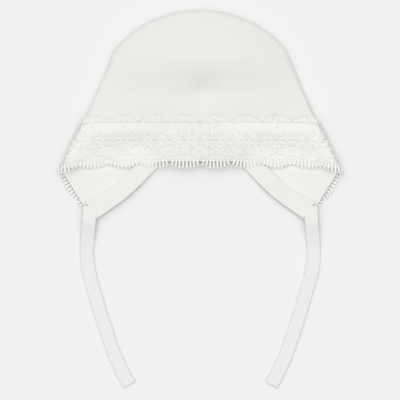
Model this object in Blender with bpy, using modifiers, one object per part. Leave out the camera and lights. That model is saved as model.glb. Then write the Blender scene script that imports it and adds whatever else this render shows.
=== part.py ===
# Baby bonnet: a knitted hood with a lace band round the face opening, a turned-in
# hem along the neck and two flat ties. It lies on its back, pressed flat, with the
# face opening towards -Y and the forehead layer on top.
# Metres, +X to the right, +Y towards the crown, +Z up from the table. "down" is the
# distance from the crown's top fold towards the neck, along -Y.
import functools
import math

import bmesh
import bpy
from mathutils import Vector

# Outline of the hood, seen from above
CROWN_LENGTH = 0.130          # top fold to the forehead edge, along the middle
CROWN_ARC_RADIUS = 0.097      # round top of the outline
SIDE_START_HALF = 0.0615      # half-width that the side folds have at the top fold's level
CORNER_HALF = 0.1185          # half-width at the side corners
CORNER_DOWN = 0.1347          # side corners, below the top fold
BRIM_TURN = 7                 # a high power keeps the forehead edge straight nearly to the corners
SIDE_BOW = 0.23               # share of the side's flare that grows towards the corner
SHOULDER_ROUNDING = 0.003     # softness of the outline where arc and sides meet

# Side flaps and the neck edge of the layer underneath
TIE_CORNER_HALF = 0.0984      # flap's outer lower corner
TIE_CORNER_DOWN = 0.1670
FLAP_TIP_HALF = 0.0882        # flap's inner lower corner
FLAP_TIP_DOWN = 0.1777
NAPE_DOWN = 0.1165            # top of the neck edge's arch, in the middle

# Cloth
CLOTH = 0.0018                # knitted cloth
FOLD_RADIUS = 0.0034          # roundness of the folds all round the outline
CROWN_RISE = 0.0145           # how far the forehead layer swells above the folds
PILLOW_POWER = 2.4            # how full the swelling stays towards the sides
BRIM_PRESS = 0.0032           # how far the forehead edge sinks on the flaps
PRESS_START_DOWN = 0.100      # where it starts to sink, down and outward, and over which run
PRESS_START_HALF = 0.030
PRESS_RUN_DOWN = 0.028
PRESS_RUN_HALF = 0.026
PRESS_RUN_FOLD = 0.034        # it stops sinking over this width beside the side folds

# Lace band
LACE_UPPER = 0.0355           # forehead edge to the cusps of the upper scallops
LACE_OVERHANG = 0.0008        # forehead edge to the cusps of the lower scallops
SCALLOP_PITCH = 0.0260
UPPER_SCALLOP_RISE = 0.0052
LOWER_SCALLOP_RISE = 0.0032
LOWER_BORDER = 0.0031         # pierced border: lower cusps to the net
UPPER_BORDER = 0.0010         # net to the upper cusps; the arches above them are pierced
LACE_GAP_RIM = 0.0010         # solid frame round each gap of the border
LACE_THICKNESS = 0.0008
LACE_CLEARANCE = 0.0006       # lace to cloth
LACE_FOLD_CLEARANCE = 0.0015  # lace to cloth on the side folds
LACE_RAMP = 0.030             # width over which the cloth comes down beside the lace

# Hem and ties
HEM_WIDTH = 0.0178
HEM_THICKNESS = 0.0015
HEM_INSET = 0.0006            # hem's ends and lower edge inside the cloth's edges
SEWN_CLEARANCE = 0.0003       # between pieces that are sewn on each other
TIE_WIDTH = 0.0115
TIE_THICKNESS = 0.0022

# Forehead layer's swelling down the middle: shares of CROWN_LENGTH and CROWN_RISE
RISE_TABLE = (
    # down, rise
    (0.000, 0.00),
    (0.060, 0.36),
    (0.160, 0.75),
    (0.250, 0.94),
    (0.325, 1.00),
    (0.400, 0.90),
    (0.470, 0.71),
    (0.550, 0.56),
    (0.640, 0.54),
    (0.780, 0.42),
    (1.000, 0.20),
    (1.100, 0.15),
)

# Soft dents: shares of CORNER_HALF across, CROWN_LENGTH down and CROWN_RISE deep
DENT_TABLE = (
    # across, down, half-width across, half-width down, depth
    (0.015, 0.545, 0.085, 0.085, 0.20),
    (-0.115, 0.195, 0.070, 0.060, 0.13),
    (0.095, 0.180, 0.085, 0.055, 0.13),
)

# Neck edge from the nape's middle to the flap's tip: shares of the tip's half-width
# and of the drop from the nape to the tip
NECK_TABLE = (
    # across, drop
    (0.00, 0.000),
    (0.20, 0.068),
    (0.41, 0.285),
    (0.58, 0.530),
    (0.72, 0.715),
    (0.87, 0.870),
    (1.00, 1.000),
)

# Tie's centre line from the hem's end to the free end: metres outward from the middle
# and down from the top fold, and its height as a share of the way up to the hem
TIE_ROUTE = (
    # across, down, height
    (0.0936, 0.1660, 1.00),
    (0.0938, 0.1710, 1.00),
    (0.0941, 0.1770, 0.98),
    (0.0946, 0.1830, 0.76),
    (0.0954, 0.1900, 0.38),
    (0.0960, 0.1970, 0.12),
    (0.0964, 0.2050, 0.00),
    (0.0960, 0.2130, 0.00),
    (0.0948, 0.2210, 0.00),
    (0.0927, 0.2300, 0.00),
    (0.0890, 0.2425, 0.00),
    (0.0852, 0.2560, 0.00),
    (0.0808, 0.2690, 0.00),
    (0.0768, 0.2815, 0.00),
    (0.0724, 0.2935, 0.00),
    (0.0670, 0.3055, 0.00),
    (0.0603, 0.3183, 0.00),
)

# Fineness of the meshes
TOP_SHARES = (0.0, 0.11, 0.22, 0.33, 0.44, 0.55, 0.65, 0.74, 0.83, 0.90, 0.95)
NECK_SHARES = (0.0, 0.14, 0.28, 0.42, 0.56, 0.70, 0.84, 1.0)
FLAP_SHARES = (0.25, 0.5, 0.75)
FOLD_STEPS = 3                # facets on a quarter of the fold
NOSE_STEPS = 3
STRAIGHT_STEPS = 15
SKIRT_STEPS = 6
LACE_CELLS = 6                # columns to a scallop
PATH_SAMPLES = 60
HEM_STEPS = 44
TIE_POINTS = 34
STRAIGHT_SHARE = 0.86         # straight rows end at this share of NAPE_DOWN, the skirt follows
ROW_CROWDING = 1.15           # above 1 the straight rows lie closer near the top fold
ARC_REACH = 0.85              # largest sine up to which the round top is followed
FOLD_SHARE = 0.3              # widest fold, as a share of the outline's half-width
NET_LINES = (0.25, 0.42, 0.58, 0.73, 0.86)      # lace's rows between the borders, shares of LACE_UPPER
FINE_CELLS = (2, 4)           # cells before and after the side fold that are split in two
EYELET_ROW = 3                # row of the lace with eyelets, in the scallop's middle columns
EYELET_COLUMNS = (2, 3)
WHOLE_CELL = 0.8              # cells narrower than this share of a full one stay closed
SHARP_ANGLE = 50              # degrees
MERGE_DISTANCE = 0.00001

APEX_Y = FLAP_TIP_DOWN / 2    # the hood's box is centred on the origin
LACE_STACK = LACE_CLEARANCE + LACE_THICKNESS


def smooth_table(rows, at):
    """Value at a place on the smooth curve through (place, value) rows."""
    at = min(max(at, rows[0][0]), rows[-1][0])
    last = len(rows) - 1
    k = next(i for i in range(last) if at <= rows[i + 1][0])

    def slope(i):
        low, high = rows[max(i - 1, 0)], rows[min(i + 1, last)]
        return (high[1] - low[1]) / (high[0] - low[0])

    (a, va), (b, vb) = rows[k], rows[k + 1]
    step = b - a
    t = (at - a) / step
    return (va * (1 + 2 * t) * (1 - t) ** 2 + vb * t * t * (3 - 2 * t)
            + step * (slope(k) * t * (1 - t) ** 2 - slope(k + 1) * t * t * (1 - t)))


def ease(share):
    """Soft step from 0 to 1."""
    share = min(max(share, 0.0), 1.0)
    return share * share * (3 - 2 * share)


def side_half(down):
    """Half-width of the straight part of the outline, at the side folds."""
    share = down / CORNER_DOWN
    return SIDE_START_HALF + (CORNER_HALF - SIDE_START_HALF) * share * (1 - SIDE_BOW + SIDE_BOW * share)


def side_flare(down):
    """Outward slope of the side folds."""
    share = down / CORNER_DOWN
    return (CORNER_HALF - SIDE_START_HALF) / CORNER_DOWN * (1 - SIDE_BOW + 2 * SIDE_BOW * share)


def inset(x, down):
    """Distance from the outline's folds, inwards."""
    x = abs(x)
    turn = math.asin(min(x / CROWN_ARC_RADIUS, ARC_REACH))
    edge = CROWN_ARC_RADIUS * (1 - math.cos(turn)) + (x - CROWN_ARC_RADIUS * math.sin(turn)) * math.tan(turn)
    arc = (down - edge) * math.cos(turn)
    side = (side_half(down) - x) / math.hypot(1, side_flare(down))
    near = max(SHOULDER_ROUNDING - abs(arc - side), 0) / SHOULDER_ROUNDING
    return min(arc, side) - near * near * SHOULDER_ROUNDING / 4


@functools.lru_cache(maxsize=None)
def half_width(down):
    """Half-width of the outline, by halving the search for where the inset is nothing."""
    low, high = 0.0, side_half(down)
    for _ in range(40):
        middle = (low + high) / 2
        if inset(middle, down) > 0:
            low = middle
        else:
            high = middle
    return low


def brim_down(x):
    """Forehead edge of the cloth."""
    return CROWN_LENGTH + (CORNER_DOWN - CROWN_LENGTH) * min(abs(x) / CORNER_HALF, 1) ** BRIM_TURN


def neck_down(x):
    """Neck edge of the layer underneath."""
    share = smooth_table(NECK_TABLE, min(abs(x) / FLAP_TIP_HALF, 1))
    return NAPE_DOWN + (FLAP_TIP_DOWN - NAPE_DOWN) * share


FLAP_RUN = (CORNER_HALF - TIE_CORNER_HALF) / (TIE_CORNER_DOWN - CORNER_DOWN)
FLAP_EDGE = Vector((-FLAP_RUN, 1.0)).normalized()
LACE_INNER_DOWN = CORNER_DOWN - LACE_UPPER - UPPER_SCALLOP_RISE
LACE_INNER_HALF = half_width(LACE_INNER_DOWN)


def lift(x, down):
    """How far the lace underneath holds the cloth off the table."""
    across = (abs(x) - LACE_INNER_HALF) * FLAP_EDGE.y - (down - LACE_INNER_DOWN) * FLAP_EDGE.x
    return LACE_STACK * ease(1 + across / LACE_RAMP)


def swell(x, down):
    """Height of the forehead layer above the folds, with its dents."""
    share = down / CROWN_LENGTH
    fullness = 1 - min(abs(x) / max(half_width(down), 1e-9), 1) ** PILLOW_POWER
    rise = CROWN_RISE * smooth_table(RISE_TABLE, share) * fullness
    for across, low, half_across, half_down, depth in DENT_TABLE:
        away = ((x / CORNER_HALF - across) / half_across) ** 2 + ((share - low) / half_down) ** 2
        rise -= CROWN_RISE * depth * math.exp(-away) * fullness
    return rise


def press(x, down):
    """How far the forehead layer sinks towards the flaps beneath it."""
    outward = ease((abs(x) - PRESS_START_HALF) / PRESS_RUN_HALF) * ease(inset(x, down) / PRESS_RUN_FOLD)
    return BRIM_PRESS * outward * ease((down - PRESS_START_DOWN) / PRESS_RUN_DOWN)


def shell_point(x, down, top, grow=0.0, fold_grow=0.0):
    """Point on the hood's outer surface, or on one that stands off it by grow."""
    depth = (FOLD_RADIUS - min(inset(x, down), FOLD_RADIUS)) / (FOLD_RADIUS + fold_grow)
    half = (FOLD_RADIUS + grow) * math.sqrt(max(1 - depth * depth, 0))
    z = lift(x, down) + FOLD_RADIUS + (half + swell(x, down) - press(x, down) if top else -half)
    return Vector((x, APEX_Y - down, z))


def fold_depth(down):
    """Width in plan of the rounded fold."""
    return min(FOLD_RADIUS * math.hypot(1, side_flare(down)), FOLD_SHARE * half_width(down))


def rim_stations():
    """Columns of the right half: fold share, then (x, down) on the two layers' rims."""
    inner = CORNER_HALF - fold_depth(CORNER_DOWN)
    under = [(share * FLAP_TIP_HALF, neck_down(share * FLAP_TIP_HALF)) for share in NECK_SHARES]
    under.append(((FLAP_TIP_HALF + TIE_CORNER_HALF) / 2, (FLAP_TIP_DOWN + TIE_CORNER_DOWN) / 2))
    under += [(TIE_CORNER_HALF + (inner - TIE_CORNER_HALF) * share,
               TIE_CORNER_DOWN - (inner - TIE_CORNER_HALF) * share / FLAP_RUN)
              for share in (0.0,) + FLAP_SHARES]
    top = [(share * inner, brim_down(share * inner)) for share in TOP_SHARES]
    folds = [1 - math.cos(math.radians(90 * k / FOLD_STEPS)) for k in range(FOLD_STEPS, -1, -1)]
    return inner, top, under, folds


def crown_columns():
    """Each column round the hood as a function from (down step, part) to a plan point."""
    inner, top, under, folds = rim_stations()
    straight = STRAIGHT_SHARE * NAPE_DOWN

    def plain(rim_x, rim_down, side):
        share = rim_x / inner

        def place(down, skirt):
            across = share * (half_width(down) - fold_depth(down))
            if skirt > 0:
                across += (rim_x - across) * skirt
                down += (rim_down - down) * skirt
            return side * across, down
        return place

    def folded(share, side, is_top):
        def place(down, skirt):
            from_fold = fold_depth(down) * share
            if skirt > 0:
                if is_top:
                    rim = brim_down(CORNER_HALF - from_fold)
                else:
                    rim = CORNER_DOWN + from_fold / (FLAP_RUN + side_flare(CORNER_DOWN))
                down += (rim - down) * skirt
            return side * (half_width(down) - fold_depth(down) * share), down
        return place

    columns = [(plain(x, d, 1), False) for x, d in under]
    columns += [(folded(f, 1, False), False) for f in folds]
    columns += [(folded(f, 1, True), True) for f in reversed(folds[:-1])]
    columns += [(plain(x, d, 1), True) for x, d in reversed(top)]
    columns += [(plain(x, d, -1), True) for x, d in top[1:]]
    columns += [(folded(f, -1, True), True) for f in folds]
    columns += [(folded(f, -1, False), False) for f in reversed(folds[:-1])]
    columns += [(plain(x, d, -1), False) for x, d in reversed(under[1:])]
    return columns, straight


def crown_rows(straight):
    """Down steps from the top fold: the rounded fold, straight rows, then the skirt."""
    nose = [FOLD_RADIUS * (1 - math.cos(math.radians(90 * k / NOSE_STEPS))) for k in range(NOSE_STEPS + 1)]
    rows = [(d, 0.0) for d in nose]
    rows += [(FOLD_RADIUS + (straight - FOLD_RADIUS) * (k / STRAIGHT_STEPS) ** ROW_CROWDING, 0.0)
             for k in range(1, STRAIGHT_STEPS + 1)]
    rows += [(straight, k / SKIRT_STEPS) for k in range(1, SKIRT_STEPS + 1)]
    return rows


def new_object(name, bm, material, collection):
    mesh = bpy.data.meshes.new(name)
    bm.to_mesh(mesh)
    bm.free()
    obj = bpy.data.objects.new(name, mesh)
    mesh.materials.append(material)
    collection.objects.link(obj)
    return obj


def finish_cloth(obj, thickness, offset):
    """Give a sheet its thickness and split its faces along their shorter diagonal."""
    wall = obj.modifiers.new("cloth", "SOLIDIFY")
    wall.thickness = thickness
    wall.offset = offset
    split = obj.modifiers.new("facets", "TRIANGULATE")
    split.quad_method = "SHORTEST_DIAGONAL"
    obj.data.shade_smooth()
    obj.data.set_sharp_from_angle(angle=math.radians(SHARP_ANGLE))


def grid_points(columns, rows):
    """A flat grid and each vertex's place in it, as (column, row)."""
    bm = bmesh.new()
    bmesh.ops.create_grid(bm, x_segments=columns, y_segments=rows, size=0.5)
    places = {v: (round((v.co.x + 0.5) * columns), round((v.co.y + 0.5) * rows)) for v in bm.verts}
    return bm, places


def make_crown(material, collection):
    columns, straight = crown_columns()
    rows = crown_rows(straight)
    bm, places = grid_points(len(columns), len(rows) - 1)
    for vert, (i, j) in places.items():
        place, top = columns[i % len(columns)]
        down, skirt = rows[j]
        x, down = place(down, skirt)
        vert.co = shell_point(x, down, top)
    bmesh.ops.remove_doubles(bm, verts=bm.verts, dist=MERGE_DISTANCE)
    bmesh.ops.recalc_face_normals(bm, faces=bm.faces)
    crown = new_object("crown", bm, material, collection)
    finish_cloth(crown, CLOTH, -1)
    return crown


def scallop(s, rise):
    """Height of a scallop's arch above its cusps at the place s along the lace."""
    radius = (SCALLOP_PITCH ** 2 / 4 + rise ** 2) / (2 * rise)
    from_top = (s / SCALLOP_PITCH) % 1 - 0.5
    return math.sqrt(radius ** 2 - (from_top * SCALLOP_PITCH) ** 2) - (radius - rise)


@functools.lru_cache(maxsize=None)
def lace_path(t):
    """The lace's line at t above the forehead edge: from the middle round the side
    fold to the hem, as (distance, x, down, layer) samples."""
    fold_down = CORNER_DOWN - t
    fold_half = half_width(fold_down) + LACE_FOLD_CLEARANCE * math.hypot(1, side_flare(fold_down))
    plan = []
    for k in range(PATH_SAMPLES + 1):
        x = fold_half * math.sin(math.pi / 2 * k / PATH_SAMPLES)
        plan.append((x, brim_down(x) - t, True))
    reach = 2 * (FLAP_TIP_DOWN - fold_down)
    for k in range(1, 2 * PATH_SAMPLES + 1):
        run = reach * (1 - math.cos(math.pi / 4 * k / PATH_SAMPLES)) / 2
        x = fold_half + FLAP_EDGE.x * run
        down = fold_down + FLAP_EDGE.y * run
        if x >= TIE_CORNER_HALF:
            end = TIE_CORNER_DOWN
        elif x >= FLAP_TIP_HALF:
            share = (x - FLAP_TIP_HALF) / (TIE_CORNER_HALF - FLAP_TIP_HALF)
            end = FLAP_TIP_DOWN + (TIE_CORNER_DOWN - FLAP_TIP_DOWN) * share
        else:
            end = neck_down(x)
        if down > end - HEM_INSET:
            break
        plan.append((x, down, False))
    points = [shell_point(x, down, top, LACE_CLEARANCE, LACE_FOLD_CLEARANCE) for x, down, top in plan]
    distance = [0.0]
    for a, b in zip(points, points[1:]):
        distance.append(distance[-1] + (b - a).length)
    return distance, points


def along(path, s):
    """Point on the lace's line at the distance s from the middle, mirrored for s < 0."""
    distance, points = path
    goal = min(abs(s), distance[-1])
    k = next((i for i in range(1, len(distance) - 1) if distance[i] >= goal), len(distance) - 1)
    share = (goal - distance[k - 1]) / (distance[k] - distance[k - 1])
    point = points[k - 1].lerp(points[k], share)
    return Vector((math.copysign(point.x, s), point.y, point.z))


def make_lace(material, collection):
    low_cusp = -LACE_OVERHANG
    lines = [low_cusp, low_cusp + LOWER_BORDER]
    lines += [LACE_UPPER * share for share in NET_LINES]
    lines += [LACE_UPPER - UPPER_BORDER, LACE_UPPER]
    last = len(lines) - 1
    ends = [lace_path(t)[0][-1] for t in lines]
    cell = SCALLOP_PITCH / LACE_CELLS
    plain_count = int((min(ends) - cell / 2) / cell)
    stations = [k * cell for k in range(plain_count + 1)]
    fold_start = lace_path(LACE_UPPER)[0][PATH_SAMPLES] - FINE_CELLS[0] * cell
    fold_end = lace_path(low_cusp)[0][PATH_SAMPLES] + FINE_CELLS[1] * cell
    half_cells = [s + cell / 2 for s in stations[:-1] if fold_start < s < fold_end]
    stations = sorted(stations + half_cells)
    stations = [-s for s in reversed(stations[1:])] + stations
    bm, places = grid_points(len(stations) + 1, last)
    for vert, (i, j) in places.items():
        s = stations[min(max(i - 1, 0), len(stations) - 1)]
        if i == 0 or i == len(stations) + 1:
            s = math.copysign(ends[j], s)
        upper = scallop(s, UPPER_SCALLOP_RISE) if j == last else 0
        lower = scallop(s, LOWER_SCALLOP_RISE) if j == 0 else 0
        vert.co = (s, lines[j] + upper - lower, j / last)
    pierced = []
    for face in bm.faces:
        center = face.calc_center_median()
        row = round(center.z * last - 0.5)
        column = math.floor(center.x / cell) % LACE_CELLS
        whole = max(v.co.x for v in face.verts) - min(v.co.x for v in face.verts) > WHOLE_CELL * cell
        border = row in (0, last - 1) and 0 < column < LACE_CELLS - 1
        eyelet = row == EYELET_ROW and column in EYELET_COLUMNS
        if whole and (border or eyelet) and abs(center.x) < stations[-1]:
            pierced.append(face)
    print("lace gaps", len(pierced))
    bmesh.ops.inset_individual(bm, faces=pierced, thickness=LACE_GAP_RIM)
    bmesh.ops.delete(bm, geom=pierced, context="FACES")
    for vert in bm.verts:
        vert.co = along(lace_path(vert.co.y), vert.co.x)
    bmesh.ops.remove_doubles(bm, verts=bm.verts, dist=MERGE_DISTANCE)
    bmesh.ops.recalc_face_normals(bm, faces=bm.faces)
    lace = new_object("lace_band", bm, material, collection)
    finish_cloth(lace, LACE_THICKNESS, 1)
    return lace


def make_neck_band(material, collection):
    """Hem on the inside of the layer underneath, from one flap's tip to the other."""
    half = FLAP_TIP_HALF - HEM_INSET
    edge = [Vector((half * math.sin(math.pi / 2 * (2 * k / HEM_STEPS - 1)), 0)) for k in range(HEM_STEPS + 1)]
    for point in edge:
        point.y = neck_down(point.x) - HEM_INSET
    across = (0.0, 0.5, 1.0)
    bm, places = grid_points(HEM_STEPS, len(across) - 1)
    for vert, (i, j) in places.items():
        run = (edge[min(i + 1, HEM_STEPS)] - edge[max(i - 1, 0)]).normalized()
        x, down = edge[i] + Vector((run.y, -run.x)) * HEM_WIDTH * across[j]
        vert.co = shell_point(x, down, False, -CLOTH - SEWN_CLEARANCE)
    bmesh.ops.recalc_face_normals(bm, faces=bm.faces)
    if sum(face.normal.z for face in bm.faces) < 0:
        bmesh.ops.reverse_faces(bm, faces=bm.faces)
    hem = new_object("neck_band", bm, material, collection)
    finish_cloth(hem, HEM_THICKNESS, 1)
    return hem


def tie_curve_points(side):
    """Smooth line through the tie's route, from the hem to the free end."""
    floor = TIE_THICKNESS / 2
    on_hem = LACE_STACK + CLOTH + HEM_THICKNESS + 2 * SEWN_CLEARANCE + TIE_THICKNESS / 2
    distance = [0.0]
    for (xa, da, _), (xb, db, _) in zip(TIE_ROUTE, TIE_ROUTE[1:]):
        distance.append(distance[-1] + math.hypot(xb - xa, db - da))
    places = [distance[-1] * k / (TIE_POINTS - 1) for k in range(TIE_POINTS)]
    tables = [list(zip(distance, values)) for values in zip(*TIE_ROUTE)]
    return [Vector((side * smooth_table(tables[0], s), APEX_Y - smooth_table(tables[1], s),
                    floor + (on_hem - floor) * min(max(smooth_table(tables[2], s), 0), 1))) for s in places]


def make_tie(name, side, material, collection):
    """Flat strip with rounded edges along its route."""
    curve = bpy.data.curves.new(name, "CURVE")
    curve.dimensions = "3D"
    curve.twist_mode = "Z_UP"
    curve.extrude = (TIE_WIDTH - TIE_THICKNESS) / 2
    curve.bevel_depth = TIE_THICKNESS / 2
    curve.bevel_resolution = 2
    curve.use_fill_caps = True
    line = curve.splines.new("POLY")
    points = tie_curve_points(side)
    line.points.add(len(points) - 1)
    for knot, point in zip(line.points, points):
        knot.co = (*point, 1.0)
        knot.tilt = math.radians(90)
    tie = bpy.data.objects.new(name, curve)
    curve.materials.append(material)
    collection.objects.link(tie)
    return tie


def cloth_material(name, color, roughness):
    material = bpy.data.materials.new(name)
    material.use_nodes = True
    shader = material.node_tree.nodes["Principled BSDF"]
    shader.inputs["Base Color"].default_value = (*color, 1.0)
    shader.inputs["Roughness"].default_value = roughness
    shader.inputs["Metallic"].default_value = 0.0
    return material


def main():
    for obj in list(bpy.data.objects):
        bpy.data.objects.remove(obj, do_unlink=True)
    collection = bpy.data.collections.new("baby_bonnet")
    bpy.context.scene.collection.children.link(collection)
    knit = cloth_material("knit", (0.86, 0.87, 0.84), 0.9)
    lace = cloth_material("lace", (0.88, 0.89, 0.86), 0.85)
    hem = cloth_material("hem", (0.87, 0.88, 0.86), 0.9)
    cord = cloth_material("tie", (0.86, 0.87, 0.85), 0.9)
    pieces = [
        make_crown(knit, collection),
        make_lace(lace, collection),
        make_neck_band(hem, collection),
        make_tie("tie_left", -1, cord, collection),
        make_tie("tie_right", 1, cord, collection),
    ]
    for piece in pieces:
        print(piece.name, "made")


main()
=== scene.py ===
# %% [markdown]
# # A knitted baby bonnet with a lace edge
# The bonnet lies on its back on a pale table and is seen from straight above. The
# hood is pressed flat, so its forehead layer is on top, its back-of-head layer is
# underneath, and the two side flaps show their inside below the lace. This lesson
# dresses the plain solids: a knitted hood with real ridges, a galloon lace made of
# net, leaves, dots, cords and ladder bars, a turned-in hem and two flat ties.

import math

import bmesh
import bpy
import numpy as np
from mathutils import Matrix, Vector


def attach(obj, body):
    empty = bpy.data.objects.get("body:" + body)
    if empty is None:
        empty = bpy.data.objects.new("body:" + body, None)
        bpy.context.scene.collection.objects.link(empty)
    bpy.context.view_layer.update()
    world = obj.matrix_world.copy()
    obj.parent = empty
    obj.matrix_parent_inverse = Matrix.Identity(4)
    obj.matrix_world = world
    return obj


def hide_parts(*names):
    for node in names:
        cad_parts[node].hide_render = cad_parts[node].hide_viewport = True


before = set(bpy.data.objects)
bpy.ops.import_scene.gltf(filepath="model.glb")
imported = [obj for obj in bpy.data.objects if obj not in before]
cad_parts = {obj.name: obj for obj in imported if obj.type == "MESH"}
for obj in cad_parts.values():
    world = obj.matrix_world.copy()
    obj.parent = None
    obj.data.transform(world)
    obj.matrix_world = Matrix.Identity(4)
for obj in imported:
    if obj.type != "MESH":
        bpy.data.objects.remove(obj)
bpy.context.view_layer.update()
print("solids", sorted(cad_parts))

# %% [markdown]
# ## Camera
# The picture is square and looks straight down. One pixel is 0.85 mm of table, and
# the hood's own middle lies above the picture's middle. A long lens from two metres
# up keeps the outline free of perspective, as a product picture does.

# %% Camera
PIXEL = 0.00085
PICTURE_PIXELS = 400
MIDDLE_PIXEL = (200.3, 115.0)      # where the hood's middle lies in the picture
CAMERA_HEIGHT = 2.0
view_x = (PICTURE_PIXELS / 2 - MIDDLE_PIXEL[0]) * PIXEL
view_y = (MIDDLE_PIXEL[1] - PICTURE_PIXELS / 2) * PIXEL
eye = bpy.data.cameras.new("picture_camera")
eye.lens = eye.sensor_width * CAMERA_HEIGHT / (PICTURE_PIXELS * PIXEL)
camera = bpy.data.objects.new("picture_camera", eye)
camera.location = (view_x, view_y, CAMERA_HEIGHT)
bpy.context.scene.collection.objects.link(camera)
bpy.context.scene.camera = camera
print("lens", round(eye.lens, 1), "mm")

# %% [markdown]
# ## Sizes
# The hood's shape repeats the sizes of the solids, in metres. "down" is the distance
# from the crown's top fold towards the neck. The small tables hold shares of the
# named sizes.

# %% Sizes of the hood
CROWN_LENGTH = 0.130
CROWN_ARC_RADIUS = 0.097
SIDE_START_HALF = 0.0615
CORNER_HALF = 0.1185
CORNER_DOWN = 0.1347
BRIM_TURN = 7
SIDE_BOW = 0.23
SHOULDER_ROUNDING = 0.003
TIE_CORNER_HALF = 0.0984
TIE_CORNER_DOWN = 0.1670
FLAP_TIP_HALF = 0.0882
FLAP_TIP_DOWN = 0.1777
NAPE_DOWN = 0.1165
CLOTH = 0.0018
FOLD_RADIUS = 0.0034
CROWN_RISE = 0.0145
PILLOW_POWER = 2.4
APEX_Y = FLAP_TIP_DOWN / 2
# (share of the crown's length, share of CROWN_RISE)
RISE_TABLE = ((0.000, 0.00), (0.060, 0.36), (0.160, 0.75), (0.250, 0.94), (0.325, 1.00), (0.400, 0.90),
              (0.470, 0.71), (0.550, 0.56), (0.640, 0.54), (0.780, 0.42), (1.000, 0.20), (1.100, 0.15))
# (place across, place down, half-width, half-length, depth), all as shares
DENT_TABLE = ((0.015, 0.545, 0.085, 0.085, 0.20), (-0.115, 0.195, 0.070, 0.060, 0.13),
              (0.095, 0.180, 0.085, 0.055, 0.13))
# (share of the flap's half-width, share of the way down to its tip)
NECK_TABLE = ((0.00, 0.000), (0.20, 0.068), (0.41, 0.285), (0.58, 0.530), (0.72, 0.715), (0.87, 0.870),
              (1.00, 1.000))
LACE_UPPER = 0.0355
LACE_OVERHANG = 0.0008
SCALLOP_PITCH = 0.0260
UPPER_SCALLOP_RISE = 0.0052
LOWER_SCALLOP_RISE = 0.0032
LACE_THICKNESS = 0.0008
LACE_CLEARANCE = 0.0006
LACE_FOLD_CLEARANCE = 0.0015
LACE_RAMP = 0.030
LACE_STACK = LACE_CLEARANCE + LACE_THICKNESS
HEM_WIDTH = 0.0178
HEM_NARROW = 0.90                  # shares of that width in the middle and at the flaps' tips
HEM_WIDE = 1.12
HEM_TURN_HALF = 0.066              # it gets wider from this half-width on, over this run
HEM_TURN_RUN = 0.030
HEM_THICKNESS = 0.0015
HEM_INSET = 0.0006
SEWN_CLEARANCE = 0.0003
TIE_WIDTH = 0.0115
TIE_THICKNESS = 0.0022
print("crown", CROWN_LENGTH, "m long,", 2 * CORNER_HALF, "m wide")

# %% [markdown]
# ## The hood's surface as a rule
# A pressed hood is two layers that meet in a round fold all along the outline. The
# distance from the outline, worked out by `inset`, gives the fold's roundness, and
# `swell` adds the soft cushion of air under the forehead layer, with its dents. Every
# piece of this lesson is laid on that one surface, so nothing floats or cuts through.

# %% Outline and folds
ARC_STOP = 0.85                    # beyond this share of its radius, the top arc runs on straight
HALVINGS = 40
FOLD_LIMIT = 0.3                   # a fold goes no deeper than this share of the half-width


def smooth_table(rows, at):
    """Values on the smooth curve through (place, value) rows."""
    place = np.array([row[0] for row in rows], float)
    value = np.array([row[1] for row in rows], float)
    slope = np.empty(len(rows))
    slope[1:-1] = (value[2:] - value[:-2]) / (place[2:] - place[:-2])
    slope[0] = (value[1] - value[0]) / (place[1] - place[0])
    slope[-1] = (value[-1] - value[-2]) / (place[-1] - place[-2])
    at = np.clip(at, place[0], place[-1])
    k = np.clip(np.searchsorted(place, at, side="right") - 1, 0, len(rows) - 2)
    step = place[k + 1] - place[k]
    t = (at - place[k]) / step
    return (value[k] * (1 + 2 * t) * (1 - t) ** 2 + value[k + 1] * t * t * (3 - 2 * t)
            + step * (slope[k] * t * (1 - t) ** 2 - slope[k + 1] * t * t * (1 - t)))


def ease(share):
    """Soft step from 0 to 1."""
    share = np.clip(share, 0.0, 1.0)
    return share * share * (3 - 2 * share)


def side_half(down):
    share = down / CORNER_DOWN
    return SIDE_START_HALF + (CORNER_HALF - SIDE_START_HALF) * share * (1 - SIDE_BOW + SIDE_BOW * share)


def side_flare(down):
    share = down / CORNER_DOWN
    return (CORNER_HALF - SIDE_START_HALF) / CORNER_DOWN * (1 - SIDE_BOW + 2 * SIDE_BOW * share)


def inset(x, down):
    """Distance from the outline's folds, inwards."""
    x = np.abs(x)
    turn = np.arcsin(np.minimum(x / CROWN_ARC_RADIUS, ARC_STOP))
    edge = CROWN_ARC_RADIUS * (1 - np.cos(turn)) + (x - CROWN_ARC_RADIUS * np.sin(turn)) * np.tan(turn)
    arc = (down - edge) * np.cos(turn)
    side = (side_half(down) - x) / np.hypot(1, side_flare(down))
    near = np.maximum(SHOULDER_ROUNDING - np.abs(arc - side), 0) / SHOULDER_ROUNDING
    return np.minimum(arc, side) - near * near * SHOULDER_ROUNDING / 4


def half_width(down):
    """Half-width of the outline, by halving the search for where the inset is nothing."""
    down = np.asarray(down, float)
    low, high = np.zeros_like(down), side_half(down)
    for _ in range(HALVINGS):
        middle = (low + high) / 2
        inside = inset(middle, down) > 0
        low = np.where(inside, middle, low)
        high = np.where(inside, high, middle)
    return low


def fold_depth(down):
    return np.minimum(FOLD_RADIUS * np.hypot(1, side_flare(down)), FOLD_LIMIT * half_width(down))


def brim_down(x):
    turn = np.minimum(np.abs(x) / CORNER_HALF, 1) ** BRIM_TURN
    return CROWN_LENGTH + (CORNER_DOWN - CROWN_LENGTH) * turn


def neck_down(x):
    share = smooth_table(NECK_TABLE, np.minimum(np.abs(x) / FLAP_TIP_HALF, 1))
    return NAPE_DOWN + (FLAP_TIP_DOWN - NAPE_DOWN) * share


print("half-width at the corners", round(float(half_width(CORNER_DOWN)), 4))

# %% [markdown]
# ## The two layers
# The back layer lies on the table, held up a little where the lace goes on beneath the
# flaps. The forehead layer is a soft cushion above it. Towards its open edge it sinks
# to the flaps and gets thinner, so that it lies on them as real cloth does.

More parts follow.
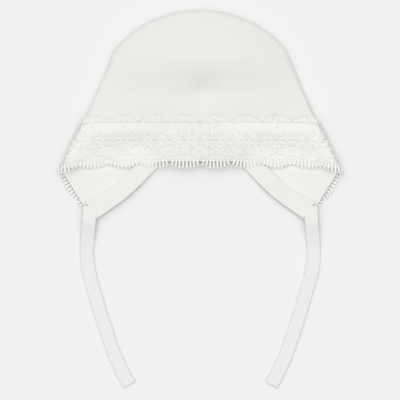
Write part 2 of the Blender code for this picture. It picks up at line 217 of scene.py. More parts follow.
# %% The two layers
FLAP_RUN = (CORNER_HALF - TIE_CORNER_HALF) / (TIE_CORNER_DOWN - CORNER_DOWN)
FLAP_EDGE = Vector((-FLAP_RUN, 1.0)).normalized()
LACE_INNER_DOWN = CORNER_DOWN - LACE_UPPER - UPPER_SCALLOP_RISE
LACE_INNER_HALF = float(half_width(LACE_INNER_DOWN))


def lift(x, down):
    """How far the lace underneath holds the cloth off the table."""
    across = (np.abs(x) - LACE_INNER_HALF) * FLAP_EDGE.y - (down - LACE_INNER_DOWN) * FLAP_EDGE.x
    return LACE_STACK * ease(1 + across / LACE_RAMP)


def swell(x, down):
    """Height of the forehead layer above the folds, with its dents."""
    share = down / CROWN_LENGTH
    fullness = 1 - np.minimum(np.abs(x) / np.maximum(half_width(down), 1e-9), 1) ** PILLOW_POWER
    rise = CROWN_RISE * smooth_table(RISE_TABLE, share) * fullness
    for across, low, half_across, half_down, depth in DENT_TABLE:
        away = ((x / CORNER_HALF - across) / half_across) ** 2 + ((share - low) / half_down) ** 2
        rise = rise - CROWN_RISE * depth * np.exp(-away) * fullness
    return rise


BRIM_PRESS = 0.0032                # how far the forehead edge sinks on the flaps
PRESS_START_DOWN = 0.100
PRESS_START_HALF = 0.030
PRESS_RUN_DOWN = 0.028
PRESS_RUN_HALF = 0.026
PRESS_RUN_FOLD = 0.034


def press(x, down):
    """How far the forehead layer sinks towards the flaps beneath it."""
    outward = ease((np.abs(x) - PRESS_START_HALF) / PRESS_RUN_HALF)
    outward = outward * ease(inset(x, down) / PRESS_RUN_FOLD)
    return BRIM_PRESS * outward * ease((down - PRESS_START_DOWN) / PRESS_RUN_DOWN)


EDGE_RUN = 0.030                   # the forehead edge bends down to the flap over this length
EDGE_THIN = 0.14                   # share of the cloth's thickness that is left at that edge
EDGE_GAP = 0.00005                 # air between that edge and what it lies on
MIDDLE_BEND = 0.0036               # between the flaps it only bends down this far
NECK_SLANT = 0.75                  # a slanting neck edge is nearer than the way straight down
HEM_FADE = 0.022                   # the hem's thickness shows through the layer above over this run
EDGE_START_HALF = 0.034            # it bends down between these half-widths, and over these runs
EDGE_START_RUN = 0.010
EDGE_STOP_HALF = 0.090
EDGE_STOP_RUN = 0.024


def on_flap(x):
    """Share of the way that the forehead edge comes down to the flap, across the hood."""
    starts = ease((np.abs(x) - EDGE_START_HALF) / EDGE_START_RUN)
    return starts * (1 - ease((np.abs(x) - EDGE_STOP_HALF) / EDGE_STOP_RUN))


def edge_share(x, down):
    """How near a place is to the forehead edge where it lies on a flap."""
    return on_flap(x) * ease(1 - (brim_down(x) - down) / EDGE_RUN)


def edge_bend(x, down):
    """How much further the last stretch bends down, on the hem or on the bare flap."""
    from_neck = (neck_down(x) - down) * NECK_SLANT
    past_hem = ease((from_neck - HEM_NARROW * HEM_WIDTH) / HEM_FADE)
    hem_below = (HEM_THICKNESS + SEWN_CLEARANCE) * (1 - past_hem)
    above_flap = 2 * FOLD_RADIUS + swell(x, down) - press(x, down) - CLOTH
    on_flaps = np.maximum(above_flap - hem_below - EDGE_GAP - EDGE_THIN * CLOTH, 0) * edge_share(x, down)
    between = 1 - ease((np.abs(x) - EDGE_START_HALF) / EDGE_START_RUN)
    return on_flaps + MIDDLE_BEND * between * ease(1 - (brim_down(x) - down) / EDGE_RUN)


def shell(x, down, top, grow=0.0, fold_grow=0.0):
    """Points on the hood's outer surface, or on one that stands off it by grow."""
    depth = (FOLD_RADIUS - np.minimum(inset(x, down), FOLD_RADIUS)) / (FOLD_RADIUS + fold_grow)
    half = (FOLD_RADIUS + grow) * np.sqrt(np.maximum(1 - depth * depth, 0))
    forehead = half + swell(x, down) - press(x, down) - edge_bend(x, down)
    z = lift(x, down) + FOLD_RADIUS + np.where(top, forehead, -half)
    return np.stack([x, APEX_Y - down, z], axis=-1)


print("height over the dimple", round(float(shell(np.array(0.0), np.array(0.0637), True)[2]), 4))

# %% [markdown]
# ## Helpers for pieces
# A piece starts as a flat grid or another simple shape. `lay_grid` moves the grid's
# points to their places, keeps a UV map in real metres, so that a pattern has its
# true scale, and merges the points that meet at a seam or a pole.

# %% Piece helpers
MERGE_DISTANCE = 0.00001
WAVE_PACES = (0.5, 1.6)            # slowest and fastest of the waves that make an unevenness


def add_piece(name, mesh, material):
    """Link a finished mesh as an object at the origin."""
    obj = bpy.data.objects.new(name, mesh)
    bpy.context.scene.collection.objects.link(obj)
    mesh.materials.clear()
    mesh.materials.append(material)
    mesh.shade_smooth()
    return obj


def lay_grid(name, places, cloth_map, painted_light_and_tone=None, thickness=None):
    """A grid whose points lie at places[row, column] with its UV map in metres. The optional
    per-point blend says how far each point takes the material's other tones (painted light on
    the knit, the hem's own tones on the ties), thickness how thick the cloth is."""
    rows, columns = places.shape[:2]
    bm = bmesh.new()
    bmesh.ops.create_grid(bm, x_segments=columns - 1, y_segments=rows - 1, size=0.5, calc_uvs=True)
    uv = bm.loops.layers.uv.verify()
    light_and_tone_shift = bm.verts.layers.float.new("painted_light_and_tone") if painted_light_and_tone is not None else None
    thick = bm.verts.layers.deform.new() if thickness is not None else None
    for vert in bm.verts:
        i = round((vert.co.x + 0.5) * (columns - 1))
        j = round((vert.co.y + 0.5) * (rows - 1))
        vert.co = places[j, i]
        if light_and_tone_shift:
            vert[light_and_tone_shift] = painted_light_and_tone[j, i]
        if thick:
            vert[thick][0] = thickness[j, i]
        for loop in vert.link_loops:
            loop[uv].uv = cloth_map[j, i]
    bmesh.ops.remove_doubles(bm, verts=bm.verts, dist=MERGE_DISTANCE)
    bmesh.ops.recalc_face_normals(bm, faces=bm.faces)
    mesh = bpy.data.meshes.new(name)
    bm.to_mesh(mesh)
    bm.free()
    return mesh


def surface_normals(places, closed_round=False):
    """Unit normals of a grid of places, from its neighbours' differences."""
    if closed_round:
        ring = np.concatenate([places[:, -2:-1], places, places[:, 1:2]], axis=1)
        across = ring[:, 2:] - ring[:, :-2]
    else:
        across = np.gradient(places, axis=1)
    along = np.gradient(places, axis=0)
    normal = np.cross(across, along)
    return normal / np.maximum(np.linalg.norm(normal, axis=-1, keepdims=True), 1e-12)


def soft_noise(a, b, seed, waves=9):
    """Smooth made-up unevenness between about -1 and 1 at the places (a, b)."""
    pick = np.random.default_rng(seed)
    total = np.zeros(np.broadcast(a, b).shape)
    for _ in range(waves):
        angle, phase = pick.uniform(0, 2 * math.pi), pick.uniform(0, 2 * math.pi)
        pace = pick.uniform(*WAVE_PACES)
        total = total + np.sin(pace * (a * math.cos(angle) + b * math.sin(angle)) + phase)
    return total / math.sqrt(waves)


print("helpers ready")

# %% [markdown]
# ## Cotton
# All the pieces are undyed cotton, off-white and matte. Two effects are shared as node
# groups. `knit_stitches` draws rows of V-shaped stitches in the cloth's own metres, and
# `cotton_fuzz` adds the uneven whiteness and the fine hairiness of the thread. The
# groups give out only colours and heights; each material keeps its own shader.

# %% Node helpers
def new_group(name, inputs, outputs):
    """An empty shader node group with named sockets, and its two end nodes."""
    group = bpy.data.node_groups.new(name, "ShaderNodeTree")
    for label, kind, value in inputs:
        socket = group.interface.new_socket(label, in_out="INPUT", socket_type=kind)
        if value is not None:
            socket.default_value = value
    for label, kind in outputs:
        group.interface.new_socket(label, in_out="OUTPUT", socket_type=kind)
    return group, group.nodes.new("NodeGroupInput"), group.nodes.new("NodeGroupOutput")


def math_node(tree, operation, a, b=None, c=None):
    """A Math node fed by sockets or plain numbers; gives its output socket."""
    node = tree.nodes.new("ShaderNodeMath")
    node.operation = operation
    for slot, value in zip(node.inputs, (a, b, c)):
        if value is None:
            continue
        if isinstance(value, (int, float)):
            slot.default_value = value
        else:
            tree.links.new(value, slot)
    return node.outputs[0]


def set_inputs(node, **values):
    """Set a node's inputs by their names; an underscore stands for a space."""
    for label, value in values.items():
        node.inputs[label.replace("_", " ")].default_value = value


def add_bump(tree, height, strength, distance, normal=None):
    """A Bump node, over another one's normal if that is given; gives its own normal."""
    bump = tree.nodes.new("ShaderNodeBump")
    set_inputs(bump, Strength=strength, Distance=distance)
    tree.links.new(height, bump.inputs["Height"])
    if normal is not None:
        tree.links.new(normal, bump.inputs["Normal"])
    return bump.outputs["Normal"]


# %% [markdown]
# ## Knit stitches
# A knitted stitch shows as a V, whose two legs meet at its foot. Folding each column in
# its middle makes both legs from one wave, and slanting that wave makes the V. A stitch
# is hardly wider than a pixel of the picture, so bump is enough for it.

# %% Knit stitches
WALE = 0.0013                      # width of a column of stitches
COURSE = 0.00085                   # height of a row of them
LEG_SLANT = 1.3                    # how far a stitch's legs rise towards its sides
LEG_ROUNDNESS = 0.6                # a lower power makes a fuller thread
LOOP_ROUNDNESS = 0.5
stitches, knit_in, knit_out = new_group(
    "knit_stitches",
    [("Vector", "NodeSocketVector", None), ("Wale", "NodeSocketFloat", WALE),
     ("Course", "NodeSocketFloat", COURSE)],
    [("Height", "NodeSocketFloat"), ("Gap", "NodeSocketFloat")])


def bumps(value, half_turns, roundness):
    """Round bumps along a value, so many to each whole step of it."""
    wave = math_node(stitches, "SINE", math_node(stitches, "MULTIPLY", value, half_turns * math.pi))
    return math_node(stitches, "POWER", math_node(stitches, "ABSOLUTE", wave), roundness)


split = stitches.nodes.new("ShaderNodeSeparateXYZ")
stitches.links.new(knit_in.outputs["Vector"], split.inputs[0])
wale = math_node(stitches, "DIVIDE", split.outputs[0], knit_in.outputs["Wale"])
course = math_node(stitches, "DIVIDE", split.outputs[1], knit_in.outputs["Course"])
leg = math_node(stitches, "PINGPONG", wale, 0.5)
slanted = math_node(stitches, "MULTIPLY_ADD", leg, LEG_SLANT, course)
height = math_node(stitches, "MULTIPLY", bumps(wale, 2, LEG_ROUNDNESS), bumps(slanted, 1, LOOP_ROUNDNESS))
stitches.links.new(height, knit_out.inputs["Height"])
stitches.links.new(math_node(stitches, "SUBTRACT", 1.0, height), knit_out.inputs["Gap"])
print("knit group", len(stitches.nodes), "nodes")

# %% [markdown]
# ## Fuzz
# Cotton thread is never quite even. Large soft clouds of noise vary its whiteness, the
# gaps between the stitches get a little painted shade, and a very fine noise stands for the
# hairs. The noises read Object coordinates, so they run on from piece to piece.

# %% Cotton fuzz
CLOUD_SCALE = 55.0                 # soft clouds of slightly different whiteness
CLOUD_DETAIL = 4.0
CLOUD_CONTRAST = 0.5
CLOUD_SHIFT = -0.1
HAIR_SCALE = 2600.0                # the thread's fine hairs
HAIR_DETAIL = 3.0
GAP_SHADE = 0.6                    # painted shade: how much darker the gaps between the stitches are painted
ROUGHNESS = 0.75                   # of the smoothest place, and the most that hairs add to it
ROUGHNESS_RANGE = 0.2
fuzz, fuzz_in, fuzz_out = new_group(
    "cotton_fuzz",
    [("Light", "NodeSocketColor", (0.8, 0.8, 0.78, 1)), ("Dark", "NodeSocketColor", (0.7, 0.7, 0.68, 1)),
     ("Gap", "NodeSocketFloat", 0.0)],
    [("Color", "NodeSocketColor"), ("Height", "NodeSocketFloat"), ("Roughness", "NodeSocketFloat")])
where = fuzz.nodes.new("ShaderNodeTexCoord")
cloud = fuzz.nodes.new("ShaderNodeTexNoise")
hair = fuzz.nodes.new("ShaderNodeTexNoise")
set_inputs(cloud, Scale=CLOUD_SCALE, Detail=CLOUD_DETAIL)
set_inputs(hair, Scale=HAIR_SCALE, Detail=HAIR_DETAIL)
for texture in (cloud, hair):
    fuzz.links.new(where.outputs["Object"], texture.inputs["Vector"])
uneven = math_node(fuzz, "MULTIPLY_ADD", cloud.outputs["Fac"], CLOUD_CONTRAST, CLOUD_SHIFT)
# painted shade in the stitch gaps, added to the random clouds of whiteness
painted_gap_shade_and_clouds = math_node(fuzz, "MULTIPLY_ADD", fuzz_in.outputs["Gap"], GAP_SHADE, uneven)
tone = fuzz.nodes.new("ShaderNodeMix")
tone.data_type = "RGBA"
tone.clamp_factor = True
fuzz.links.new(painted_gap_shade_and_clouds, tone.inputs["Factor"])
fuzz.links.new(fuzz_in.outputs["Light"], tone.inputs["A"])
fuzz.links.new(fuzz_in.outputs["Dark"], tone.inputs["B"])
fuzz.links.new(tone.outputs["Result"], fuzz_out.inputs["Color"])
fuzz.links.new(hair.outputs["Fac"], fuzz_out.inputs["Height"])
roughness = math_node(fuzz, "MULTIPLY_ADD", hair.outputs["Fac"], ROUGHNESS_RANGE, ROUGHNESS)
fuzz.links.new(roughness, fuzz_out.inputs["Roughness"])
print("fuzz group", len(fuzz.nodes), "nodes")

# %% [markdown]
# ## One maker of cottons
# The hood, the hem and the ties are knitted and the lace is plain thread, but all are
# the same fibre. One function makes every material, and only its two tones and the
# size of its stitches differ. A little sheen stands for the light in the fine hairs.

# %% Cotton materials
STITCH_DEPTH = 0.00016
STITCH_STRENGTH = 0.6
FUZZ_DEPTH = 0.00003
FUZZ_STRENGTH = 0.5


def cotton(name, light, dark, wale=None, course=None):
    """A matte cotton material; with a wale and a course it is knitted, else plain thread."""
    material = bpy.data.materials.new(name)
    material.use_nodes = True
    tree = material.node_tree
    shader = tree.nodes["Principled BSDF"]
    set_inputs(shader, Sheen_Weight=0.15, Sheen_Roughness=0.6, Specular_IOR_Level=0.2)
    soft = tree.nodes.new("ShaderNodeGroup")
    soft.node_tree = fuzz
    set_inputs(soft, Light=(*light, 1), Dark=(*dark, 1))
    tree.links.new(soft.outputs["Color"], shader.inputs["Base Color"])
    tree.links.new(soft.outputs["Roughness"], shader.inputs["Roughness"])
    normal = add_bump(tree, soft.outputs["Height"], FUZZ_STRENGTH, FUZZ_DEPTH)
    if wale:
        cloth_place = tree.nodes.new("ShaderNodeUVMap")
        cloth_place.uv_map = "UVMap"
        knit = tree.nodes.new("ShaderNodeGroup")
        knit.node_tree = stitches
        set_inputs(knit, Wale=wale, Course=course)
        tree.links.new(cloth_place.outputs["UV"], knit.inputs["Vector"])
        tree.links.new(knit.outputs["Gap"], soft.inputs["Gap"])
        normal = add_bump(tree, knit.outputs["Height"], STITCH_STRENGTH, STITCH_DEPTH, normal)
    tree.links.new(normal, shader.inputs["Normal"])
    return material


# The lightest and the darkest tone of each cotton
KNIT_TONES = ((0.865, 0.88, 0.84), (0.80, 0.815, 0.775))
PAINTED_LIGHT_TONES = ((0.95, 0.96, 0.93), (0.87, 0.885, 0.85))      # painted light: lighter tones of the knit where it lies in shade, under the lace, on its inner side and under the lace's border
HEM_TONES = ((0.875, 0.885, 0.85), (0.82, 0.83, 0.80))
TIE_TONES = ((0.875, 0.885, 0.87), (0.81, 0.82, 0.80))
NET_TONES = ((0.945, 0.95, 0.915), (0.925, 0.93, 0.895))
LEAF_TONES = ((0.925, 0.93, 0.895), (0.91, 0.915, 0.88))
CORD_TONES = ((0.94, 0.95, 0.915), (0.92, 0.93, 0.895))
HEM_COURSE = 0.00095
TIE_WALE = 0.0012
TIE_COURSE = 0.0010
knit_cotton = cotton("knit_cotton", *KNIT_TONES, WALE, COURSE)
hem_cotton = cotton("hem_cotton", *HEM_TONES, WALE, HEM_COURSE)
tie_cotton = cotton("tie_cotton", *TIE_TONES, TIE_WALE, TIE_COURSE)
net_cotton = cotton("net_cotton", *NET_TONES)
leaf_cotton = cotton("leaf_cotton", *LEAF_TONES)
cord_cotton = cotton("cord_cotton", *CORD_TONES)


def blend_painted_light_and_tone(material, painted_light_and_hem_tones):
    """Let a per-point value carry the material's two tones over to two others: on the knit to lighter
    tones, which are painted light, and on the ties to the hem's own tones.
    """
    tree = material.node_tree
    light_and_tone_mark = tree.nodes.new("ShaderNodeAttribute")
    light_and_tone_mark.attribute_name = "painted_light_and_tone"
    soft = next(node for node in tree.nodes if node.type == "GROUP" and node.node_tree == fuzz)
    for socket, light_and_tone_shift in zip(("Light", "Dark"), painted_light_and_hem_tones):
        blend = tree.nodes.new("ShaderNodeMix")
        blend.data_type = "RGBA"
        blend.clamp_factor = False
        blend.inputs["A"].default_value = soft.inputs[socket].default_value
        blend.inputs["B"].default_value = (*light_and_tone_shift, 1)
        tree.links.new(light_and_tone_mark.outputs["Fac"], blend.inputs["Factor"])
        tree.links.new(blend.outputs["Result"], soft.inputs[socket])


# painted light: the knit takes lighter tones where it lies in shade under the lace and on its inner side;
# the ties' sewn start takes the hem's own tones
blend_painted_light_and_tone(knit_cotton, PAINTED_LIGHT_TONES)
blend_painted_light_and_tone(tie_cotton, HEM_TONES)
print("materials", [m.name for m in bpy.data.materials])

# %% [markdown]
# ## Scallops
# Both edges of the lace run in arches, one every 26 mm. Each arch is a piece of a
# circle, so its height over its cusps follows from its width and its rise. The hood
# needs them too, because the arches press a groove into the cloth above them.

# %% Scallops
def scallop(s, rise):
    """Height of a scallop's arch above its cusps at the place s along the lace."""
    radius = (SCALLOP_PITCH ** 2 / 4 + rise ** 2) / (2 * rise)
    from_top = np.mod(s / SCALLOP_PITCH, 1) - 0.5
    return np.sqrt(radius ** 2 - (from_top * SCALLOP_PITCH) ** 2) - (radius - rise)


def upper_edge(s):
    """Upper edge of the lace, above the forehead edge."""
    return LACE_UPPER + scallop(s, UPPER_SCALLOP_RISE)


def lower_edge(s):
    return -LACE_OVERHANG - scallop(s, LOWER_SCALLOP_RISE)


scallop_top = SCALLOP_PITCH / 2
print("lace from", round(float(lower_edge(scallop_top)), 4),
      "to", round(float(upper_edge(scallop_top)), 4))

# %% [markdown]
# ## The knitted hood
# The real hood is knitted back and forth, so fine ridges run across it about 1.7 mm
# apart. They are real relief here, four grid rows to a ridge, and the small stitches
# between them are bump. The grid goes round both layers, starts in one point at the
# top fold and ends in the forehead edge, the flap edges and the neck edge. Its columns
# are listed first for the right half, and the left half is their mirror image.

# %% Columns and rows of the hood
RIDGE_PITCH = 0.0017
ROWS_PER_RIDGE = 4
NOSE_ROWS = 7                      # rows in the round of the top fold, and how far they turn
NOSE_TURN = 84
STRAIGHT_SHARE = 0.86              # of the nape's place: down to there the rows are level
TOP_COLUMNS = 42
NECK_COLUMNS = 16
TIP_COLUMNS = 2
FLAP_COLUMNS = 6
FOLD_COLUMNS = 6
EDGE_SAMPLES = 201
SCALLOP_MARGIN = 0.0010            # on the flaps the cloth ends this far inside the scallops
UNDER_SCALLOP_STOP = 0.105         # it goes back to the plain edge here, over this run
UNDER_SCALLOP_RUN = 0.009
OPEN_BACK = 0.0018                 # between the flaps it ends this far above the plain edge

corner_fold = float(fold_depth(CORNER_DOWN))
inner_half = CORNER_HALF - corner_fold
top_x = inner_half * np.linspace(0, 1, TOP_COLUMNS + 1)[:-1]
neck_x = FLAP_TIP_HALF * np.linspace(0, 1, NECK_COLUMNS + 1)
tip_share = np.linspace(0, 1, TIP_COLUMNS + 1)[1:]
flap_share = np.linspace(0, 1, FLAP_COLUMNS + 1)[1:-1]
under_x = np.concatenate([
    neck_x,
    FLAP_TIP_HALF + (TIE_CORNER_HALF - FLAP_TIP_HALF) * tip_share,
    TIE_CORNER_HALF + (inner_half - TIE_CORNER_HALF) * flap_share])
under_down = np.concatenate([
    neck_down(neck_x),
    FLAP_TIP_DOWN + (TIE_CORNER_DOWN - FLAP_TIP_DOWN) * tip_share,
    TIE_CORNER_DOWN - (inner_half - TIE_CORNER_HALF) * flap_share / FLAP_RUN])
fold_share = 1 - np.cos(np.radians(np.linspace(90, 0, FOLD_COLUMNS + 1)))
fold_under_down = CORNER_DOWN + corner_fold * fold_share / (FLAP_RUN + side_flare(CORNER_DOWN))
fold_top_down = brim_down(CORNER_HALF - corner_fold * fold_share)
edge_x = np.linspace(0, inner_half, EDGE_SAMPLES)
edge_path = shell(edge_x, brim_down(edge_x), True)
edge_s = np.concatenate([[0], np.cumsum(np.linalg.norm(np.diff(edge_path, axis=0), axis=1))])


def cloth_edge(x):
    """The cloth ends under the lace's scallops on the flaps, and short of them between."""
    under_scallop = -lower_edge(np.interp(x, edge_x, edge_s)) - SCALLOP_MARGIN
    past_opening = ease((x - EDGE_START_HALF) / EDGE_START_RUN)
    before_fold = 1 - ease((x - UNDER_SCALLOP_STOP) / UNDER_SCALLOP_RUN)
    return brim_down(x) + past_opening * before_fold * under_scallop - OPEN_BACK * (1 - past_opening)


def half_columns():
    """Right half's columns: (share of the inner width, fold share, rim x, rim down, on top)."""
    under = [(x / inner_half, 1.0, x, d, 0) for x, d in zip(under_x, under_down)]
    under += [(1.0, f, -1.0, d, 0) for f, d in zip(fold_share, fold_under_down)]
    over = [(1.0, f, -1.0, d, 1) for f, d in zip(fold_share[:-1][::-1], fold_top_down[:-1][::-1])]
    over += [(x / inner_half, 1.0, x, cloth_edge(x), 1) for x in top_x[::-1]]
    return under + over


right = [(*column, 1) for column in half_columns()]
left = [(*column, -1) for column in half_columns()[::-1]]
columns = np.array(right + left[1:], float)
straight_down = STRAIGHT_SHARE * NAPE_DOWN
row_step = RIDGE_PITCH / ROWS_PER_RIDGE
straight_rows = np.arange(math.ceil(FOLD_RADIUS / row_step), int(straight_down / row_step) + 1) * row_step
nose_rows = FOLD_RADIUS * (1 - np.cos(np.radians(np.linspace(0, NOSE_TURN, NOSE_ROWS))))
straight_rows = np.concatenate([nose_rows, straight_rows])
skirt_rows = int((CROWN_LENGTH - straight_rows[-1]) / row_step)
row_down = np.concatenate([straight_rows, np.full(skirt_rows, straight_rows[-1])])
row_skirt = np.concatenate([np.zeros(len(straight_rows)), np.arange(1, skirt_rows + 1) / skirt_rows])
print("hood grid", len(row_down), "rows by", len(columns), "columns")

# %% [markdown]
# ## Relief and painted light of the hood
# Each grid point is laid on its layer and then moved along the surface's normal by
# the ridges, a soft waviness and the groove over the lace. Under the lace the cloth is
# pressed flat. A per-point value paints light onto the knit there, to lift the shade
# under the net, and also onto its inner side and most of all under the lace's border,
# where the layer above shades it; past the forehead edge less of it is painted. A
# "thickness" value thins the wall towards the forehead edge.

# %% Places of the hood's grid
RIDGE_HEIGHT = 0.00006
RIDGE_UNEVEN = 0.35                # share by which the height of the ridges wanders
RIDGE_UNEVEN_PACE = (120, 900)     # and how fast, across and down
WAVE_HEIGHT = 0.00025              # a soft waviness of the whole cloth
WAVE_PACE = (90, 110)
WAVE_FADE = 0.012                  # it fades out this close to the folds
GROOVE_DEPTH = 0.00070             # the lace's arches press a groove into the cloth above them
GROOVE_START = 0.0004              # just above them, and this wide
GROOVE_WIDTH = 0.0008
UNDER_LACE_START = 0.0002
UNDER_LACE_RUN = 0.0012
FLAT_UNDER_LACE = 0.8              # share of the relief that goes under the lace
KNIT_PRESSED_UP = 0.00042          # how far the cloth fills the space under the lace
INNER_RELIEF = 0.5                 # share of the relief on the inner side
INSIDE_PAINTED_LIGHT = 0.30                # painted light on the cloth's plain inner side, which lies in the shade of the layer above
BORDER_PAINTED_LIGHT = 1.45                # and the most painted light close to the lace border that lies on it, where its shade falls
PAINTED_LIGHT_REACH = 0.009
EDGE_SHADE = 0.7                   # past the forehead edge this share of the painted light is taken back, so the trimmed edge behind the border's bars is painted darker, as shade
EDGE_SHADE_RUN = 0.0012
WALL_SHARE = 0.94                  # of the cloth's thickness: the relief takes the rest
BACK_MAP_START = 0.5               # the back layer's stitches start this far along
share, fold, rim_x, rim_down, on_top, side = [columns[None, :, k] for k in range(6)]
down0 = row_down[:, None] + 0 * share
skirt = row_skirt[:, None]
down = down0 + (rim_down - down0) * skirt
straight_x = share * (half_width(down0) - fold_depth(down0))
plain_x = straight_x + (rim_x - straight_x) * skirt
fold_x = half_width(down) - fold_depth(down) * fold
hood_x = side * np.where(rim_x >= 0, plain_x, fold_x)
hood_top = (on_top + 0 * down) > 0.5
hood = shell(hood_x, down, hood_top)
normals = surface_normals(hood, closed_round=True)
way_out = np.where(hood_top[..., None], [0, 0, 1], [0, 0, -1])
outward = np.sign(np.sum(normals * way_out, axis=(0, 1)).sum())
normals = normals * outward
ridge_fade = np.where(hood_top, 1.0, 1 - skirt)
uneven_across, uneven_down = RIDGE_UNEVEN_PACE
uneven = 1 + RIDGE_UNEVEN * soft_noise(hood_x * uneven_across, down * uneven_down, seed=3)
relief = RIDGE_HEIGHT * np.cos(2 * math.pi * down / RIDGE_PITCH) * ridge_fade * uneven
waves = soft_noise(hood_x * WAVE_PACE[0], down * WAVE_PACE[1], seed=5)
relief = relief + WAVE_HEIGHT * waves * np.minimum(inset(hood_x, down) / WAVE_FADE, 1)
above_lace = brim_down(hood_x) - down - upper_edge(hood_x)
arch_share = (upper_edge(hood_x) - LACE_UPPER) / UPPER_SCALLOP_RISE
pressed_in = np.exp(-((above_lace - GROOVE_START) / GROOVE_WIDTH) ** 2)
relief = relief - GROOVE_DEPTH * arch_share * pressed_in * hood_top
under_lace = hood_top * ease((-above_lace + UNDER_LACE_START) / UNDER_LACE_RUN)
past_edge = ease((down - brim_down(hood_x)) / EDGE_SHADE_RUN)
relief = relief * (1 - FLAT_UNDER_LACE * under_lace) + KNIT_PRESSED_UP * under_lace * (1 - past_edge)
relief = np.where(hood_top, relief, -INNER_RELIEF * np.abs(relief))
relief[0] = 0
hood = hood + normals * relief[..., None]
cloth_map = np.stack([np.where(hood_top, hood_x, BACK_MAP_START - hood_x), -down], axis=-1)
# painted light: the knit is lightened under the lace, on its inner side and most under the lace's border,
# to lift the shade there
painted_light_near_border = ease(1 - np.abs(down - brim_down(hood_x)) / PAINTED_LIGHT_REACH)
top_painted_light = under_lace * (1 - EDGE_SHADE * past_edge)
inner_painted_light = INSIDE_PAINTED_LIGHT + (BORDER_PAINTED_LIGHT - INSIDE_PAINTED_LIGHT) * painted_light_near_border
painted_light_and_tone = np.where(hood_top, top_painted_light, inner_painted_light)
thickness = 1 - (1 - EDGE_THIN) * edge_share(hood_x, down) * hood_top
hood_mesh = lay_grid("crown_knit", hood, cloth_map, painted_light_and_tone, thickness)
crown_knit = add_piece("crown_knit", hood_mesh, knit_cotton)
crown_knit.vertex_groups.new(name="thickness")
wall = crown_knit.modifiers.new("cloth", "SOLIDIFY")
wall.thickness = CLOTH * WALL_SHARE
wall.offset = -1
wall.vertex_group = "thickness"
wall.thickness_vertex_group = 0.0
print("hood faces", len(hood_mesh.polygons))

# %% [markdown]
# ## The lace's own surface
# Lace is made flat and then laid round the forehead, over the side folds and under the
# flaps. So its pattern is drawn in flat metres, s along the edge and t up from it, and
# one table carries a flat place to its place in space. The table holds the line that
# the lace follows at every t, stepped off by its true length, so nothing is stretched.

# %% Flat place to place in space
TABLE_STEP = 0.0005
PATH_SAMPLES = 90
NET_HEIGHT = 0.0005                # underside of the net above the hood's cloth
FLOOR_CLEARANCE = 0.00005
LACE_DROOP = 0.0009                # how far the overhanging border hangs down
FLAP_DROOP = 0.00078               # and how far it comes down to lie on a flap
DROOP_POWER = 6                    # it hangs the same all across, and not at all at the folds
DROOP_START = 0.0018               # it starts this far above the forehead edge
DROOP_RUN = 0.0045
TABLE_START = -0.0065              # the table reaches past both edges of the lace
TABLE_MARGIN = 0.003
LAST_CELL = 1.001                  # a place past the table's end is read in its last cell


def lace_line(t):
    """The lace's line at t, from the middle round the side fold to the hem."""
    fold_down = CORNER_DOWN - t
    slant = math.hypot(1, float(side_flare(fold_down)))
    fold_half = float(half_width(fold_down)) + LACE_FOLD_CLEARANCE * slant
    over_x = fold_half * np.sin(np.linspace(0, math.pi / 2, PATH_SAMPLES + 1))
    over = shell(over_x, brim_down(over_x) - t, True, NET_HEIGHT, LACE_FOLD_CLEARANCE)
    droop = LACE_DROOP + (FLAP_DROOP - LACE_DROOP) * on_flap(over_x)
    droop = droop * (1 - (over_x / fold_half) ** DROOP_POWER)
    over[:, 2] -= droop * ease((DROOP_START - t) / DROOP_RUN)
    reach = 2 * (FLAP_TIP_DOWN - fold_down)
    run = reach * (1 - np.cos(math.pi / 4 * np.arange(1, 2 * PATH_SAMPLES + 1) / PATH_SAMPLES)) / 2
    x = fold_half + FLAP_EDGE.x * run
    down = fold_down + FLAP_EDGE.y * run
    tip_share = (x - FLAP_TIP_HALF) / (TIE_CORNER_HALF - FLAP_TIP_HALF)
    tip_down = FLAP_TIP_DOWN + (TIE_CORNER_DOWN - FLAP_TIP_DOWN) * np.minimum(tip_share, 1)
    cut = np.where(x >= FLAP_TIP_HALF, tip_down, neck_down(x))
    kept = np.cumprod(down <= cut - HEM_INSET).astype(bool)
    under = shell(x[kept], down[kept], False, NET_HEIGHT, LACE_FOLD_CLEARANCE)
    points = np.concatenate([over, under])
    distance = np.concatenate([[0], np.cumsum(np.linalg.norm(np.diff(points, axis=0), axis=1))])
    return distance, points


table_t = np.arange(TABLE_START, LACE_UPPER + UPPER_SCALLOP_RISE + TABLE_MARGIN, TABLE_STEP)
lines = [lace_line(t) for t in table_t]
line_end = np.array([distance[-1] for distance, _ in lines])
table_s = np.arange(0, line_end.max() + TABLE_STEP, TABLE_STEP)
lace_table = np.stack([
    np.stack([np.interp(table_s, distance, points[:, k]) for k in range(3)], axis=-1)
    for distance, points in lines])
lace_normals = -surface_normals(lace_table)
lace_normals = lace_normals * np.sign(lace_normals[len(table_t) // 2, 0, 2])
print("lace reaches", round(float(line_end.min()), 4), "to", round(float(line_end.max()), 4),
      "m from the middle")


def lace_place(s, t, h):
    """Place in space of the flat lace place (s, t), at the height h above the net's underside."""
    a = np.clip(np.abs(s) / TABLE_STEP, 0, lace_table.shape[1] - LAST_CELL)
    b = np.clip((t - table_t[0]) / TABLE_STEP, 0, lace_table.shape[0] - LAST_CELL)
    i, j = a.astype(int), b.astype(int)
    u, v = (a - i)[..., None], (b - j)[..., None]
    place = 0
    for table, scale in ((lace_table, 1.0), (lace_normals, np.asarray(h, float)[..., None])):
        low = table[j, i] * (1 - u) + table[j, i + 1] * u
        high = table[j + 1, i] * (1 - u) + table[j + 1, i + 1] * u
        place = place + (low * (1 - v) + high * v) * scale
    place[..., 0] *= np.where(s < 0, -1, 1)
    place[..., 2] = np.maximum(place[..., 2], FLOOR_CLEARANCE)
    return place


def lace_end(t):
    """How far from the middle the lace goes at t."""
    return np.interp(t, table_t, line_end)


